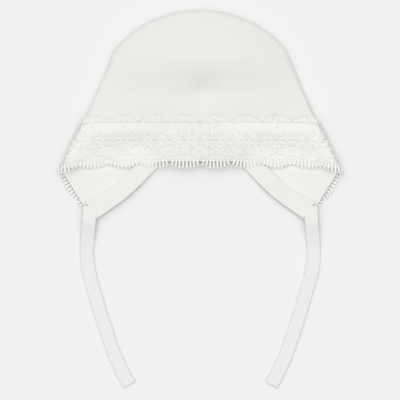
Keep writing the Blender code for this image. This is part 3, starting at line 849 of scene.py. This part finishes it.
def lay_on_lace(name, bm, material, thickness=0.0):
    """Carry a flat pattern to its place round the hood; its flat place becomes its UV map."""
    flat = np.array([vert.co for vert in bm.verts])
    places = lace_place(flat[:, 0], flat[:, 1], flat[:, 2])
    uv = bm.loops.layers.uv.verify()
    bm.verts.ensure_lookup_table()
    for vert, place, spot in zip(bm.verts, places, flat):
        vert.co = place
        for loop in vert.link_loops:
            loop[uv].uv = spot[:2]
    mesh = bpy.data.meshes.new(name)
    bm.to_mesh(mesh)
    bm.free()
    piece = add_piece(name, mesh, material)
    if thickness:
        wall = piece.modifiers.new("thread", "SOLIDIFY")
        wall.thickness = thickness
        wall.offset = 1
    print(name, len(mesh.polygons), "faces")
    return piece


# %% [markdown]
# ## Net
# The ground of the lace is a fine net. A flat grid is poked, so every square becomes
# four triangles, and the grid's own edges are dissolved, which leaves diamonds. Each
# diamond is inset by half a thread and its middle is taken out: what stays is the net.

# %% Net ground
NET_PITCH = 0.0020
NET_THREAD = 0.00068
NET_DEPTH = 0.00010
LOWER_BORDER = 0.0031              # lower cusps to the net
UPPER_BORDER = 0.0005              # net to the upper cusps
NET_LOW = LOWER_BORDER - LACE_OVERHANG
NET_HIGH = LACE_UPPER - UPPER_BORDER


def net_piece(name, start, end):
    """The net between two places along the lace, inside its ladder borders."""
    top = LACE_UPPER + UPPER_SCALLOP_RISE
    bottom = -LACE_OVERHANG - LOWER_SCALLOP_RISE
    columns = round((end - start) / NET_PITCH)
    rows = round((top - bottom) / NET_PITCH)
    bm = bmesh.new()
    bmesh.ops.create_grid(bm, x_segments=columns, y_segments=rows, size=0.5)
    for vert in bm.verts:
        along, up = vert.co.x + 0.5, vert.co.y + 0.5
        vert.co = (start + along * (end - start), bottom + up * (top - bottom), 0)
    squares = list(bm.edges)
    bmesh.ops.poke(bm, faces=bm.faces)
    bmesh.ops.dissolve_edges(bm, edges=squares, use_verts=False)
    outside = []
    for face in bm.faces:
        middle = face.calc_center_median()
        if not NET_LOW < middle.y < NET_HIGH or abs(middle.x) > lace_end(middle.y) - NET_PITCH:
            outside.append(face)
    bmesh.ops.delete(bm, geom=outside, context="FACES")
    made = bmesh.ops.inset_individual(bm, faces=bm.faces[:], thickness=NET_THREAD / 2)
    threads = set(made["faces"])
    bmesh.ops.delete(bm, geom=[face for face in bm.faces if face not in threads], context="FACES")
    return lay_on_lace(name, bm, net_cotton, NET_DEPTH)


reach = float(line_end.max())
net_left = net_piece("lace_net_left", -reach, 0.0)
net_right = net_piece("lace_net_right", 0.0, reach)

# %% [markdown]
# ## Threads in the lace
# A thread is a small round tube along a flat path. It is a grid rolled up: one way
# goes round the thread and the other way goes along it.

# %% Thread helper
THREAD_MERGE = 0.0000001


def add_thread(bm, s, t, h, radius, sides=5, flatness=1.0):
    """Add a tube along a flat path of (s, t) places at the height h to the bmesh."""
    s, t = np.asarray(s, float), np.asarray(t, float)
    h = np.broadcast_to(np.asarray(h, float), s.shape)
    radius = np.broadcast_to(np.asarray(radius, float), s.shape)
    run = np.stack([np.gradient(s), np.gradient(t)])
    run = run / np.maximum(np.hypot(*run), 1e-9)
    made = bmesh.ops.create_grid(bm, x_segments=sides, y_segments=len(s) - 1, size=0.5)["verts"]
    for vert in made:
        turn = 2 * math.pi * (round((vert.co.x + 0.5) * sides) % sides) / sides
        k = round((vert.co.y + 0.5) * (len(s) - 1))
        out = radius[k] * math.cos(turn)
        up = flatness * radius[k] * math.sin(turn)
        vert.co = (s[k] + run[1][k] * out, t[k] - run[0][k] * out, h[k] + up)
    bmesh.ops.remove_doubles(bm, verts=made, dist=THREAD_MERGE)


# %% [markdown]
# ## Borders of the lace
# Each edge of the lace is a ladder: a round cord along the arches, a flatter one along
# the net, and short flat bars that fan out between them. The cords are twisted, which
# a small wave in their radius shows. All of them go into one mesh.

# %% Border cords
EDGE_RADIUS = 0.00024
INNER_RADIUS = 0.00034
INNER_FLATNESS = 0.35
CORD_STEP = 0.0005
CORD_MARGIN = 0.001                # the cords end this far inside the lace
TWIST = 0.18                       # share of a cord's radius, and length of one turn
TWIST_PITCH = 0.0021
# Radius, flatness and height over the net of each border's bars
BAR_SIZES = {"upper": (0.00084, 0.35, 0.0004), "lower": (0.00112, 0.22, 0.0002)}
cords = bmesh.new()
border_lines = ((upper_edge, NET_HIGH, "upper"), (lower_edge, NET_LOW, "lower"))
for edge, inner, border in border_lines:
    cord_height = BAR_SIZES[border][2]
    span = float(lace_end(inner)) - CORD_MARGIN
    s = np.arange(-span, span, CORD_STEP)
    rope = 1 + TWIST * np.sin(2 * math.pi * s / TWIST_PITCH)
    add_thread(cords, s, edge(s), cord_height, EDGE_RADIUS * rope)
    add_thread(cords, s, inner + 0 * s, cord_height, INNER_RADIUS * rope, flatness=INNER_FLATNESS)
print("border cords", len(cords.faces), "faces")

# %% Ladder bars
BARS_PER_SCALLOP = 8
BAR_FAN = 0.88                     # the bars stand this much closer at the net
BAR_MARGIN = 0.002
BAR_SHARES = np.array([0.0, 0.25, 0.5, 0.75, 0.92, 1.0])
BAR_TAPER = np.array([0.95, 0.95, 1.0, 0.95, 0.70, 0.30])      # their width at those places
bar_count = 0
for edge, inner, border in border_lines:
    bar_radius, bar_flatness, bar_height = BAR_SIZES[border]
    span = float(lace_end(inner)) - BAR_MARGIN
    reach_bars = int(span / SCALLOP_PITCH * BARS_PER_SCALLOP)
    for k in range(-reach_bars, reach_bars):
        s = (k + 0.5) * SCALLOP_PITCH / BARS_PER_SCALLOP
        middle = (math.floor(s / SCALLOP_PITCH) + 0.5) * SCALLOP_PITCH
        start = Vector((middle + (s - middle) * BAR_FAN, inner))
        foot = Vector((s, float(edge(s))))
        across, up = foot.x - start.x, foot.y - start.y
        add_thread(cords, start.x + across * BAR_SHARES, start.y + up * BAR_SHARES,
                   bar_height, bar_radius * BAR_TAPER, sides=6, flatness=bar_flatness)
        bar_count += 1
print("bars", bar_count)
bmesh.ops.recalc_face_normals(cords, faces=cords.faces)
lace_cords = lay_on_lace("lace_cords", cords, cord_cotton)

# %% [markdown]
# ## Leaves and dots
# The pattern on the net is made of denser, cloth-like shapes, each edged by its own
# thickness. A leaf is a small grid whose width swells and closes along its length. One
# scallop's sprig is a short table, and the loop repeats it for every scallop.

# %% Leaf and dot
MOTIF_HEIGHT = 0.00008
MOTIF_THICKNESS = 0.00012
LEAF_CROWN = 0.00005
LEAF_BELLY = 0.8                   # below 1, the widest place is nearer to the stem
LEAF_FULLNESS = 0.75
LEAF_BLUNT = 0.04                  # share of the width that is left at both ends
LEAF_ROWS = 7
LEAF_COLUMNS = 4
DOT_SIDES = 8
DOT_RISE = 0.35                    # of a dot's radius


def add_leaf(bm, s, t, angle, length, width, bow=0.0):
    """A flat leaf from its stem at (s, t), pointing at the angle from straight up."""
    made = bmesh.ops.create_grid(bm, x_segments=LEAF_COLUMNS, y_segments=LEAF_ROWS, size=0.5)["verts"]
    up = Vector((math.sin(angle), math.cos(angle)))
    across = Vector((up.y, -up.x))
    for vert in made:
        share = vert.co.y + 0.5
        half = width / 2 * (math.sin(math.pi * share ** LEAF_BELLY) ** LEAF_FULLNESS + LEAF_BLUNT)
        sideways = 2 * vert.co.x * half + bow * length * math.sin(math.pi * share)
        place = Vector((s, t)) + up * (share * length) + across * sideways
        vert.co = (*place, MOTIF_HEIGHT + LEAF_CROWN * (1 - (2 * vert.co.x) ** 2))


def add_dot(bm, s, t, radius):
    """A small raised round dot, pulled up in its middle."""
    made = bmesh.ops.create_circle(bm, cap_ends=True, segments=DOT_SIDES, radius=radius)["verts"]
    for vert in made:
        vert.co = (vert.co.x + s, vert.co.y + t, MOTIF_HEIGHT)
    hub = bmesh.ops.poke(bm, faces=list({face for vert in made for face in vert.link_faces}))["verts"]
    for vert in hub:
        vert.co.z += radius * DOT_RISE


# %% [markdown]
# ## The sprigs
# The upright sprig is repeated once a scallop, and so are the smaller leaves and dots
# between two sprigs. Only the right half is listed, because the other half mirrors it.
# What lies on an axis of the pattern is its own mirror image and is made once.

# %% Sprigs along the lace
SPRIG_FOOT = 0.0085                # above the forehead edge
# Leaves of one sprig: (across, up, turn in degrees, length, width, bow), metres from its foot
SPRIG_LEAVES = (
    (0.0000, 0.0150, 0, 0.0052, 0.0026, 0.00),
    (0.0018, 0.0143, 38, 0.0050, 0.0024, 0.06),
    (0.0026, 0.0122, 74, 0.0048, 0.0024, 0.10),
    (0.0024, 0.0098, 112, 0.0044, 0.0022, 0.10),
    (0.0012, 0.0040, 48, 0.0050, 0.0022, 0.14),
    (0.0012, 0.0008, 80, 0.0054, 0.0022, 0.16),
    (0.0078, 0.0046, -14, 0.0046, 0.0022, -0.10),
    (0.0082, 0.0098, 8, 0.0046, 0.0022, 0.10),
    (0.0108, 0.0010, 24, 0.0040, 0.0020, 0.05),
    (0.0130, 0.0058, 0, 0.0044, 0.0024, 0.00),
    (0.0130, 0.0140, 0, 0.0046, 0.0024, 0.00),
    (0.0106, 0.0150, -30, 0.0040, 0.0020, 0.08),
)
# Dots of one sprig: (across, up, radius)
SPRIG_DOTS = (
    (0.0000, 0.0122, 0.0012),
    (0.0055, 0.0065, 0.0008),
    (0.0130, 0.0118, 0.0010),
    (0.0104, 0.0075, 0.0008),
    (0.0060, 0.0180, 0.0008),
    (0.0000, 0.0225, 0.0008),
)
PATTERN_AXES = (0.0, SCALLOP_PITCH / 2)
MOTIF_MARGIN = 0.003               # leaves and dots stay this far inside the lace's ends
DOT_ROWS = (0.0016, 0.0046)        # above the lower ladder
DOT_ROW_PITCH = 0.0029
ROW_DOT_RADIUS = 0.0007


def on_lace(s, t):
    return abs(s) < lace_end(t) - MOTIF_MARGIN


motifs = bmesh.new()
sprig_count = math.ceil(reach / SCALLOP_PITCH)
for k in range(-sprig_count, sprig_count):
    middle = (k + 0.5) * SCALLOP_PITCH
    for way in (1, -1):
        for across, up, turn, length, width, bow in SPRIG_LEAVES:
            tip = middle + way * (across + length * math.sin(math.radians(turn)))
            if (way > 0 or across not in PATTERN_AXES) and on_lace(tip, SPRIG_FOOT + up):
                add_leaf(motifs, middle + way * across, SPRIG_FOOT + up, math.radians(way * turn),
                         length, width, way * bow)
        for across, up, radius in SPRIG_DOTS:
            place = middle + way * across
            if (way > 0 or across not in PATTERN_AXES) and on_lace(place, SPRIG_FOOT + up):
                add_dot(motifs, place, SPRIG_FOOT + up, radius)
for row, above in enumerate(DOT_ROWS):
    for s in np.arange(-reach, reach, DOT_ROW_PITCH) + row * DOT_ROW_PITCH / 2:
        if on_lace(s, NET_LOW + above):
            add_dot(motifs, s, NET_LOW + above, ROW_DOT_RADIUS)
lace_motifs = lay_on_lace("lace_motifs", motifs, leaf_cotton, MOTIF_THICKNESS)

# %% [markdown]
# ## Stems
# Each sprig has one upright stem and two that swing out to its neighbours. The lace is
# one strip whose pattern is joined in two places beside the middle, and a wavy upright
# thread marks each of them.

# %% Stems and the two joining lines
STEM_RADIUS = 0.00026
STEM_HEIGHT = 0.0003
STEM_LENGTH = 0.0125
STEM_POINTS = 12
STEM_MARGIN = 0.016
SWING = 0.0030                     # how far the side stems swing up and down
SWING_FALL = 0.001                 # and how much lower they end
JOIN_PLACES = (-0.0071, 0.0074)
JOIN_RADIUS = 0.00034
JOIN_STEP = 0.0008
JOIN_WAVE = 0.00025
JOIN_WAVE_PITCH = 0.0032
stems = bmesh.new()
for k in range(-sprig_count, sprig_count):
    middle = (k + 0.5) * SCALLOP_PITCH
    if abs(middle) > lace_end(SPRIG_FOOT) - STEM_MARGIN:
        continue
    rise = np.linspace(0, 1, STEM_POINTS)
    add_thread(stems, middle + 0 * rise, SPRIG_FOOT + STEM_LENGTH * rise, STEM_HEIGHT, STEM_RADIUS)
    swing = SPRIG_FOOT + SWING * np.sin(2 * math.pi * rise) - SWING_FALL * rise
    for way in (1, -1):
        add_thread(stems, middle + way * (SCALLOP_PITCH / 2) * rise, swing, STEM_HEIGHT, STEM_RADIUS)
for s in JOIN_PLACES:
    t = np.arange(NET_LOW, NET_HIGH, JOIN_STEP)
    wave = JOIN_WAVE * np.sin(2 * math.pi * t / JOIN_WAVE_PITCH)
    add_thread(stems, s + wave, t, STEM_HEIGHT, JOIN_RADIUS)
bmesh.ops.recalc_face_normals(stems, faces=stems.faces)
lace_stems = lay_on_lace("lace_stems", stems, cord_cotton)

# %% [markdown]
# ## Hem along the neck
# The neck edge is turned in and sewn down as a flat band on the inside of the back
# layer. It is a long grid along the neck edge, rolled up to a flat tube. It gets thin
# towards its inner edge, and the sewn line there pulls it down in a groove.

# %% Hem
HEM_COLUMNS = 260
HEM_PROFILE = 33                   # steps across each of its two sides
HEM_ROUNDING = 1.6                 # a larger number makes the long sides rounder
HEM_UNEVEN = 0.05                  # share of the thickness, and its pace along and across
HEM_UNEVEN_PACE = (900, 3)
HEM_TUCK = 1.1                     # the inner edge goes down by this share of the clearance
SEAM_SHARE = 0.93                  # the sewn line's place across the hem
SEAM_WIDTH = 0.035
SEAM_DEPTH = 0.78                  # shares of the hem's thickness, at the tips and between
SEAM_SHALLOW = 0.20
SEAM_FADE_HALF = 0.066
SEAM_FADE_RUN = 0.012
SEAM_FLOOR = -0.5                  # below this side share the groove leaves the hem alone
SLOPE_START = 0.86                 # from here the hem gets thinner towards its inner edge
SLOPE_FALL = 0.75
hem_x = (FLAP_TIP_HALF - HEM_INSET) * np.sin(np.linspace(-math.pi / 2, math.pi / 2, HEM_COLUMNS + 1))
hem_down = neck_down(hem_x) - HEM_INSET
run = np.stack([np.gradient(hem_x), np.gradient(hem_down)])
run = run / np.hypot(*run)
around = np.linspace(0, 2 * math.pi, 2 * HEM_PROFILE + 1)
flat_share = 0.5 - 0.5 * np.cos(around)
rounded = np.minimum(np.abs(np.sin(around)) * HEM_WIDTH / HEM_THICKNESS / HEM_ROUNDING, 1) ** 0.5
to_inner = ease((flat_share - SLOPE_START) / (1 - SLOPE_START))
sloped = np.minimum(rounded, 1 - SLOPE_FALL * to_inner)
side_share = np.where(np.sin(around) > 0, 2 * sloped - 1, -rounded)
side_share[0] = side_share[HEM_PROFILE] = side_share[-1] = 0
to_tip = ease((np.abs(hem_x) - HEM_TURN_HALF) / HEM_TURN_RUN)
hem_width = HEM_WIDTH * (HEM_NARROW + (HEM_WIDE - HEM_NARROW) * to_tip)
across_x = hem_x + run[1] * hem_width * flat_share[:, None]
across_down = hem_down - run[0] * hem_width * flat_share[:, None]
bed = shell(across_x, across_down, False, -CLOTH - SEWN_CLEARANCE)
bed_normal = surface_normals(bed)
bed_normal = np.where(bed_normal[..., 2:] < 0, -bed_normal, bed_normal)
pulled_share = ease((np.abs(across_x) - SEAM_FADE_HALF) / SEAM_FADE_RUN)
pulled = SEAM_SHALLOW + (SEAM_DEPTH - SEAM_SHALLOW) * pulled_share
seam = np.exp(-((flat_share[:, None] - SEAM_SHARE) / SEAM_WIDTH) ** 2)
groove = 1 - pulled * seam * (side_share[:, None] > SEAM_FLOOR)
uneven = soft_noise(hem_x * HEM_UNEVEN_PACE[0], flat_share[:, None] * HEM_UNEVEN_PACE[1], seed=11)
ribs = 1 + HEM_UNEVEN * uneven * (side_share > 0)[:, None]
height = HEM_THICKNESS / 2 * (1 + side_share[:, None] * ribs) * groove
height = height - HEM_TUCK * SEWN_CLEARANCE * to_inner[:, None]
hem_places = bed + bed_normal * height[..., None]
hem_run = np.concatenate([[0], np.cumsum(np.hypot(np.diff(hem_x), np.diff(hem_down)))])
hem_map = np.stack(np.broadcast_arrays(hem_run[None, :], hem_width * flat_share[:, None]), axis=-1)
hem_mesh = lay_grid("hem", hem_places, hem_map)
hem = add_piece("hem", hem_mesh, hem_cotton)
print("hem faces", len(hem_mesh.polygons))

# %% [markdown]
# ## Ties
# Two flat knitted ties are sewn on the hem's ends. They lie on the hem, come down to
# the table and lie flat on it in a soft bend. Each is one closed strip along its
# route, with rounded sides, a fine zigzag down its middle and a sewn hem at its end.

# %% Ties
# (place across, place down, share of the way up from the table to the hem)
TIE_ROUTE = (
    (0.0936, 0.1660, 1.00),
    (0.0938, 0.1710, 1.00),
    (0.0941, 0.1770, 0.98),
    (0.0946, 0.1830, 0.76),
    (0.0954, 0.1900, 0.38),
    (0.0960, 0.1970, 0.12),
    (0.0964, 0.2050, 0.00),
    (0.0960, 0.2130, 0.00),
    (0.0948, 0.2210, 0.00),
    (0.0927, 0.2300, 0.00),
    (0.0890, 0.2425, 0.00),
    (0.0852, 0.2560, 0.00),
    (0.0808, 0.2690, 0.00),
    (0.0768, 0.2815, 0.00),
    (0.0724, 0.2935, 0.00),
    (0.0670, 0.3055, 0.00),
    (0.0603, 0.3183, 0.00),
)
TIE_POINTS = 34
TIE_ROWS = 320
TIE_PROFILE = 14
TIE_LIE = TIE_THICKNESS / 2
TIE_THIN = (0.004, 0.016)          # the sewn start is pressed thin until here, then it swells
TIE_THINNEST = 0.22
TIE_TUCK = 1.2                     # the sewn start goes down by this share of the clearance
TIE_FLATNESS = 2.6                 # a larger number makes the sides steeper
TIE_ROUNDNESS = 0.6
TIE_UNDERSIDE = 0.98               # the lower side is a little flatter
TIE_UNEVEN = 0.02                  # share by which the width wanders, and its pace
TIE_UNEVEN_PACE = 260
ZIGZAG_PITCH = 0.0034              # the zigzag: one turn, then shares of the width and thickness
ZIGZAG_SWING = 0.10
ZIGZAG_WIDTH = 0.10
ZIGZAG_DEPTH = 0.16
END_HEM = 0.0042                   # the sewn line near the free end
END_HEM_WIDTH = 0.0006
END_HEM_DEPTH = 0.25
RIB_PITCH = 0.0011                 # the knit's fine ribs across the tie
RIB_DEPTH = 0.05
SEWN_PLACES = ((0.0032, 0.25), (0.0070, -0.35))     # short sewn lines: from the start, and outward
SEWN_WIDTH = 0.0005
SEWN_REACH = 0.30
SEWN_DEPTH = 0.9
TIE_ON_HEM = LACE_STACK + CLOTH + HEM_THICKNESS + 2 * SEWN_CLEARANCE + TIE_THICKNESS / 2


def tie_line(side, count):
    """Points of the tie's centre line, evenly spaced from the hem to the free end."""
    route = np.array(TIE_ROUTE)
    distance = np.concatenate([[0], np.cumsum(np.hypot(np.diff(route[:, 0]), np.diff(route[:, 1])))])
    at = np.linspace(0, distance[-1], count)
    across, low, share = [smooth_table(list(zip(distance, route[:, k])), at) for k in range(3)]
    height = TIE_LIE + (TIE_ON_HEM - TIE_LIE) * np.clip(share, 0, 1)
    return np.stack([side * across, APEX_Y - low, height], axis=-1)


def make_tie(name, side):
    """One tie as a closed strip round its centre line."""
    middle = tie_line(side, TIE_ROWS + 1)
    step = np.gradient(middle, axis=0)
    step = step / np.linalg.norm(step, axis=1, keepdims=True)
    across = np.cross(step, [0, 0, 1])
    across = across / np.linalg.norm(across, axis=1, keepdims=True)
    over = np.cross(across, step)
    length = np.concatenate([[0], np.cumsum(np.linalg.norm(np.diff(middle, axis=0), axis=1))])
    turn = np.linspace(0, 2 * math.pi, 2 * TIE_PROFILE + 1)
    flat = -np.cos(turn)
    bulge = np.sign(np.sin(turn)) * np.minimum(np.abs(np.sin(turn)) * TIE_FLATNESS, 1) ** TIE_ROUNDNESS
    bulge[0] = bulge[TIE_PROFILE] = bulge[-1] = 0
    from_end = length[-1] - length
    near_end = np.minimum(np.minimum(length, from_end) / (TIE_THICKNESS / 2), 1)
    thin = 1 - ease((length - TIE_THIN[0]) / (TIE_THIN[1] - TIE_THIN[0]))
    rounding = np.sqrt(np.maximum(1 - (1 - near_end) ** 2, 0)) * (1 - (1 - TIE_THINNEST) * thin)
    middle = middle - over * ((TIE_THICKNESS / 2 + TIE_TUCK * SEWN_CLEARANCE) * thin)[:, None]
    bulge = bulge + (np.sin(turn) - bulge) * thin[:, None]
    s = length[:, None]
    wave = np.sin(2 * math.pi * s / ZIGZAG_PITCH)
    zigzag = np.exp(-((flat - ZIGZAG_SWING * wave) / ZIGZAG_WIDTH) ** 2)
    end_hem = np.exp(-((from_end[:, None] - END_HEM) / END_HEM_WIDTH) ** 2)
    sewn = sum(np.exp(-((s - at) / SEWN_WIDTH) ** 2 - ((flat - side * out) / SEWN_REACH) ** 4)
               for at, out in SEWN_PLACES)
    ribs = RIB_DEPTH * np.sin(2 * math.pi * s / RIB_PITCH) * (1 - zigzag)
    dent = 1 - ZIGZAG_DEPTH * zigzag - END_HEM_DEPTH * end_hem - SEWN_DEPTH * sewn + ribs
    squash = np.where(bulge < 0, TIE_UNDERSIDE, np.minimum(dent, 1.0))
    half = TIE_THICKNESS / 2 * bulge * squash * rounding[:, None]
    width = TIE_WIDTH / 2 * (1 - TIE_UNEVEN * soft_noise(s * TIE_UNEVEN_PACE, 0 * s, seed=7))
    places = (middle[:, None] + across[:, None] * (flat * width)[..., None]
              + over[:, None] * half[..., None])
    cloth_map = np.stack(np.broadcast_arrays(TIE_WIDTH / 2 * flat[None, :], s), axis=-1)
    mesh = lay_grid(name, places, cloth_map, painted_light_and_tone=thin[:, None] + 0 * bulge)
    tie = add_piece(name, mesh, tie_cotton)
    path = [tuple(point) for point in tie_line(side, TIE_POINTS)]
    return tie


ties = {name: make_tie(name + "_knit", side) for name, side in (("tie_left", -1), ("tie_right", 1))}

# %% [markdown]
# ## Floor and light
# The floor is plain and pale. One large soft light stands high on the upper left, so
# the edges that face down and right get the stronger line, and a bright even sky
# fills the shadows.

# %% Floor
FLOOR_HALF = 3.0
PAPER_TONE = (0.86, 0.86, 0.86, 1)
bm = bmesh.new()
bmesh.ops.create_grid(bm, x_segments=1, y_segments=1, size=FLOOR_HALF)
floor_mesh = bpy.data.meshes.new("floor")
bm.to_mesh(floor_mesh)
bm.free()
floor = bpy.data.objects.new("floor", floor_mesh)
bpy.context.scene.collection.objects.link(floor)
paper = bpy.data.materials.new("paper")
paper.use_nodes = True
set_inputs(paper.node_tree.nodes["Principled BSDF"], Base_Color=PAPER_TONE, Roughness=1.0,
           Specular_IOR_Level=0.0)
floor_mesh.materials.append(paper)
print("floor", 2 * FLOOR_HALF, "m wide")

# %% Light
SKY_SHARE = 0.86                   # of the floor's light
HORIZON_SHARE = 0.20               # of the sky's light that comes evenly from all round
LIGHT_ON_FLOOR = 1.013
LAMP_PLACE = Vector((-0.30, 0.85, 1.0))
LAMP_SPREAD = 55                   # degrees across: the larger, the softer its shadows
scene = bpy.context.scene
scene.view_settings.view_transform = "Standard"
world = bpy.data.worlds.new("sky")
world.use_nodes = True
sky = world.node_tree
set_inputs(sky.nodes["Background"], Color=(1, 1, 1, 1))
way_up = sky.nodes.new("ShaderNodeSeparateXYZ")
sky.links.new(sky.nodes.new("ShaderNodeTexCoord").outputs["Generated"], way_up.inputs[0])
height = math_node(sky, "MAXIMUM", way_up.outputs[2], 0.0)
overhead = 2 * (1 - HORIZON_SHARE) * SKY_SHARE * LIGHT_ON_FLOOR
glow = math_node(sky, "MULTIPLY_ADD", math_node(sky, "MULTIPLY", height, height), overhead,
                 HORIZON_SHARE * SKY_SHARE * LIGHT_ON_FLOOR)
sky.links.new(glow, sky.nodes["Background"].inputs["Strength"])
scene.world = world
lamp_data = bpy.data.lights.new("window", "SUN")
lamp_data.angle = math.radians(LAMP_SPREAD)
lamp_data.energy = (1 - SKY_SHARE) * LIGHT_ON_FLOOR * math.pi / LAMP_PLACE.normalized().z
lamp = bpy.data.objects.new("window", lamp_data)
lamp.location = LAMP_PLACE
lamp.rotation_euler = (-LAMP_PLACE).to_track_quat("-Z", "Y").to_euler()
scene.collection.objects.link(lamp)
print("sky and lamp ready")

# %% [markdown]
# ## Take the place of the plain solids
# Each piece rides on the part's one body and replaces its solid. The lace's five pieces
# together stand for one solid.

# %% Ride and replace
pieces = {
    crown_knit: ("crown", "knit"),
    net_left: ("lace_band", "lace"),
    net_right: ("lace_band", "lace"),
    lace_cords: ("lace_band", "lace"),
    lace_motifs: ("lace_band", "lace"),
    lace_stems: ("lace_band", "lace"),
    hem: ("neck_band", "hem"),
    ties["tie_left"]: ("tie_left", "tie"),
    ties["tie_right"]: ("tie_right", "tie"),
}
for piece, (node, slot) in pieces.items():
    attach(piece, "root")
    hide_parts(node)
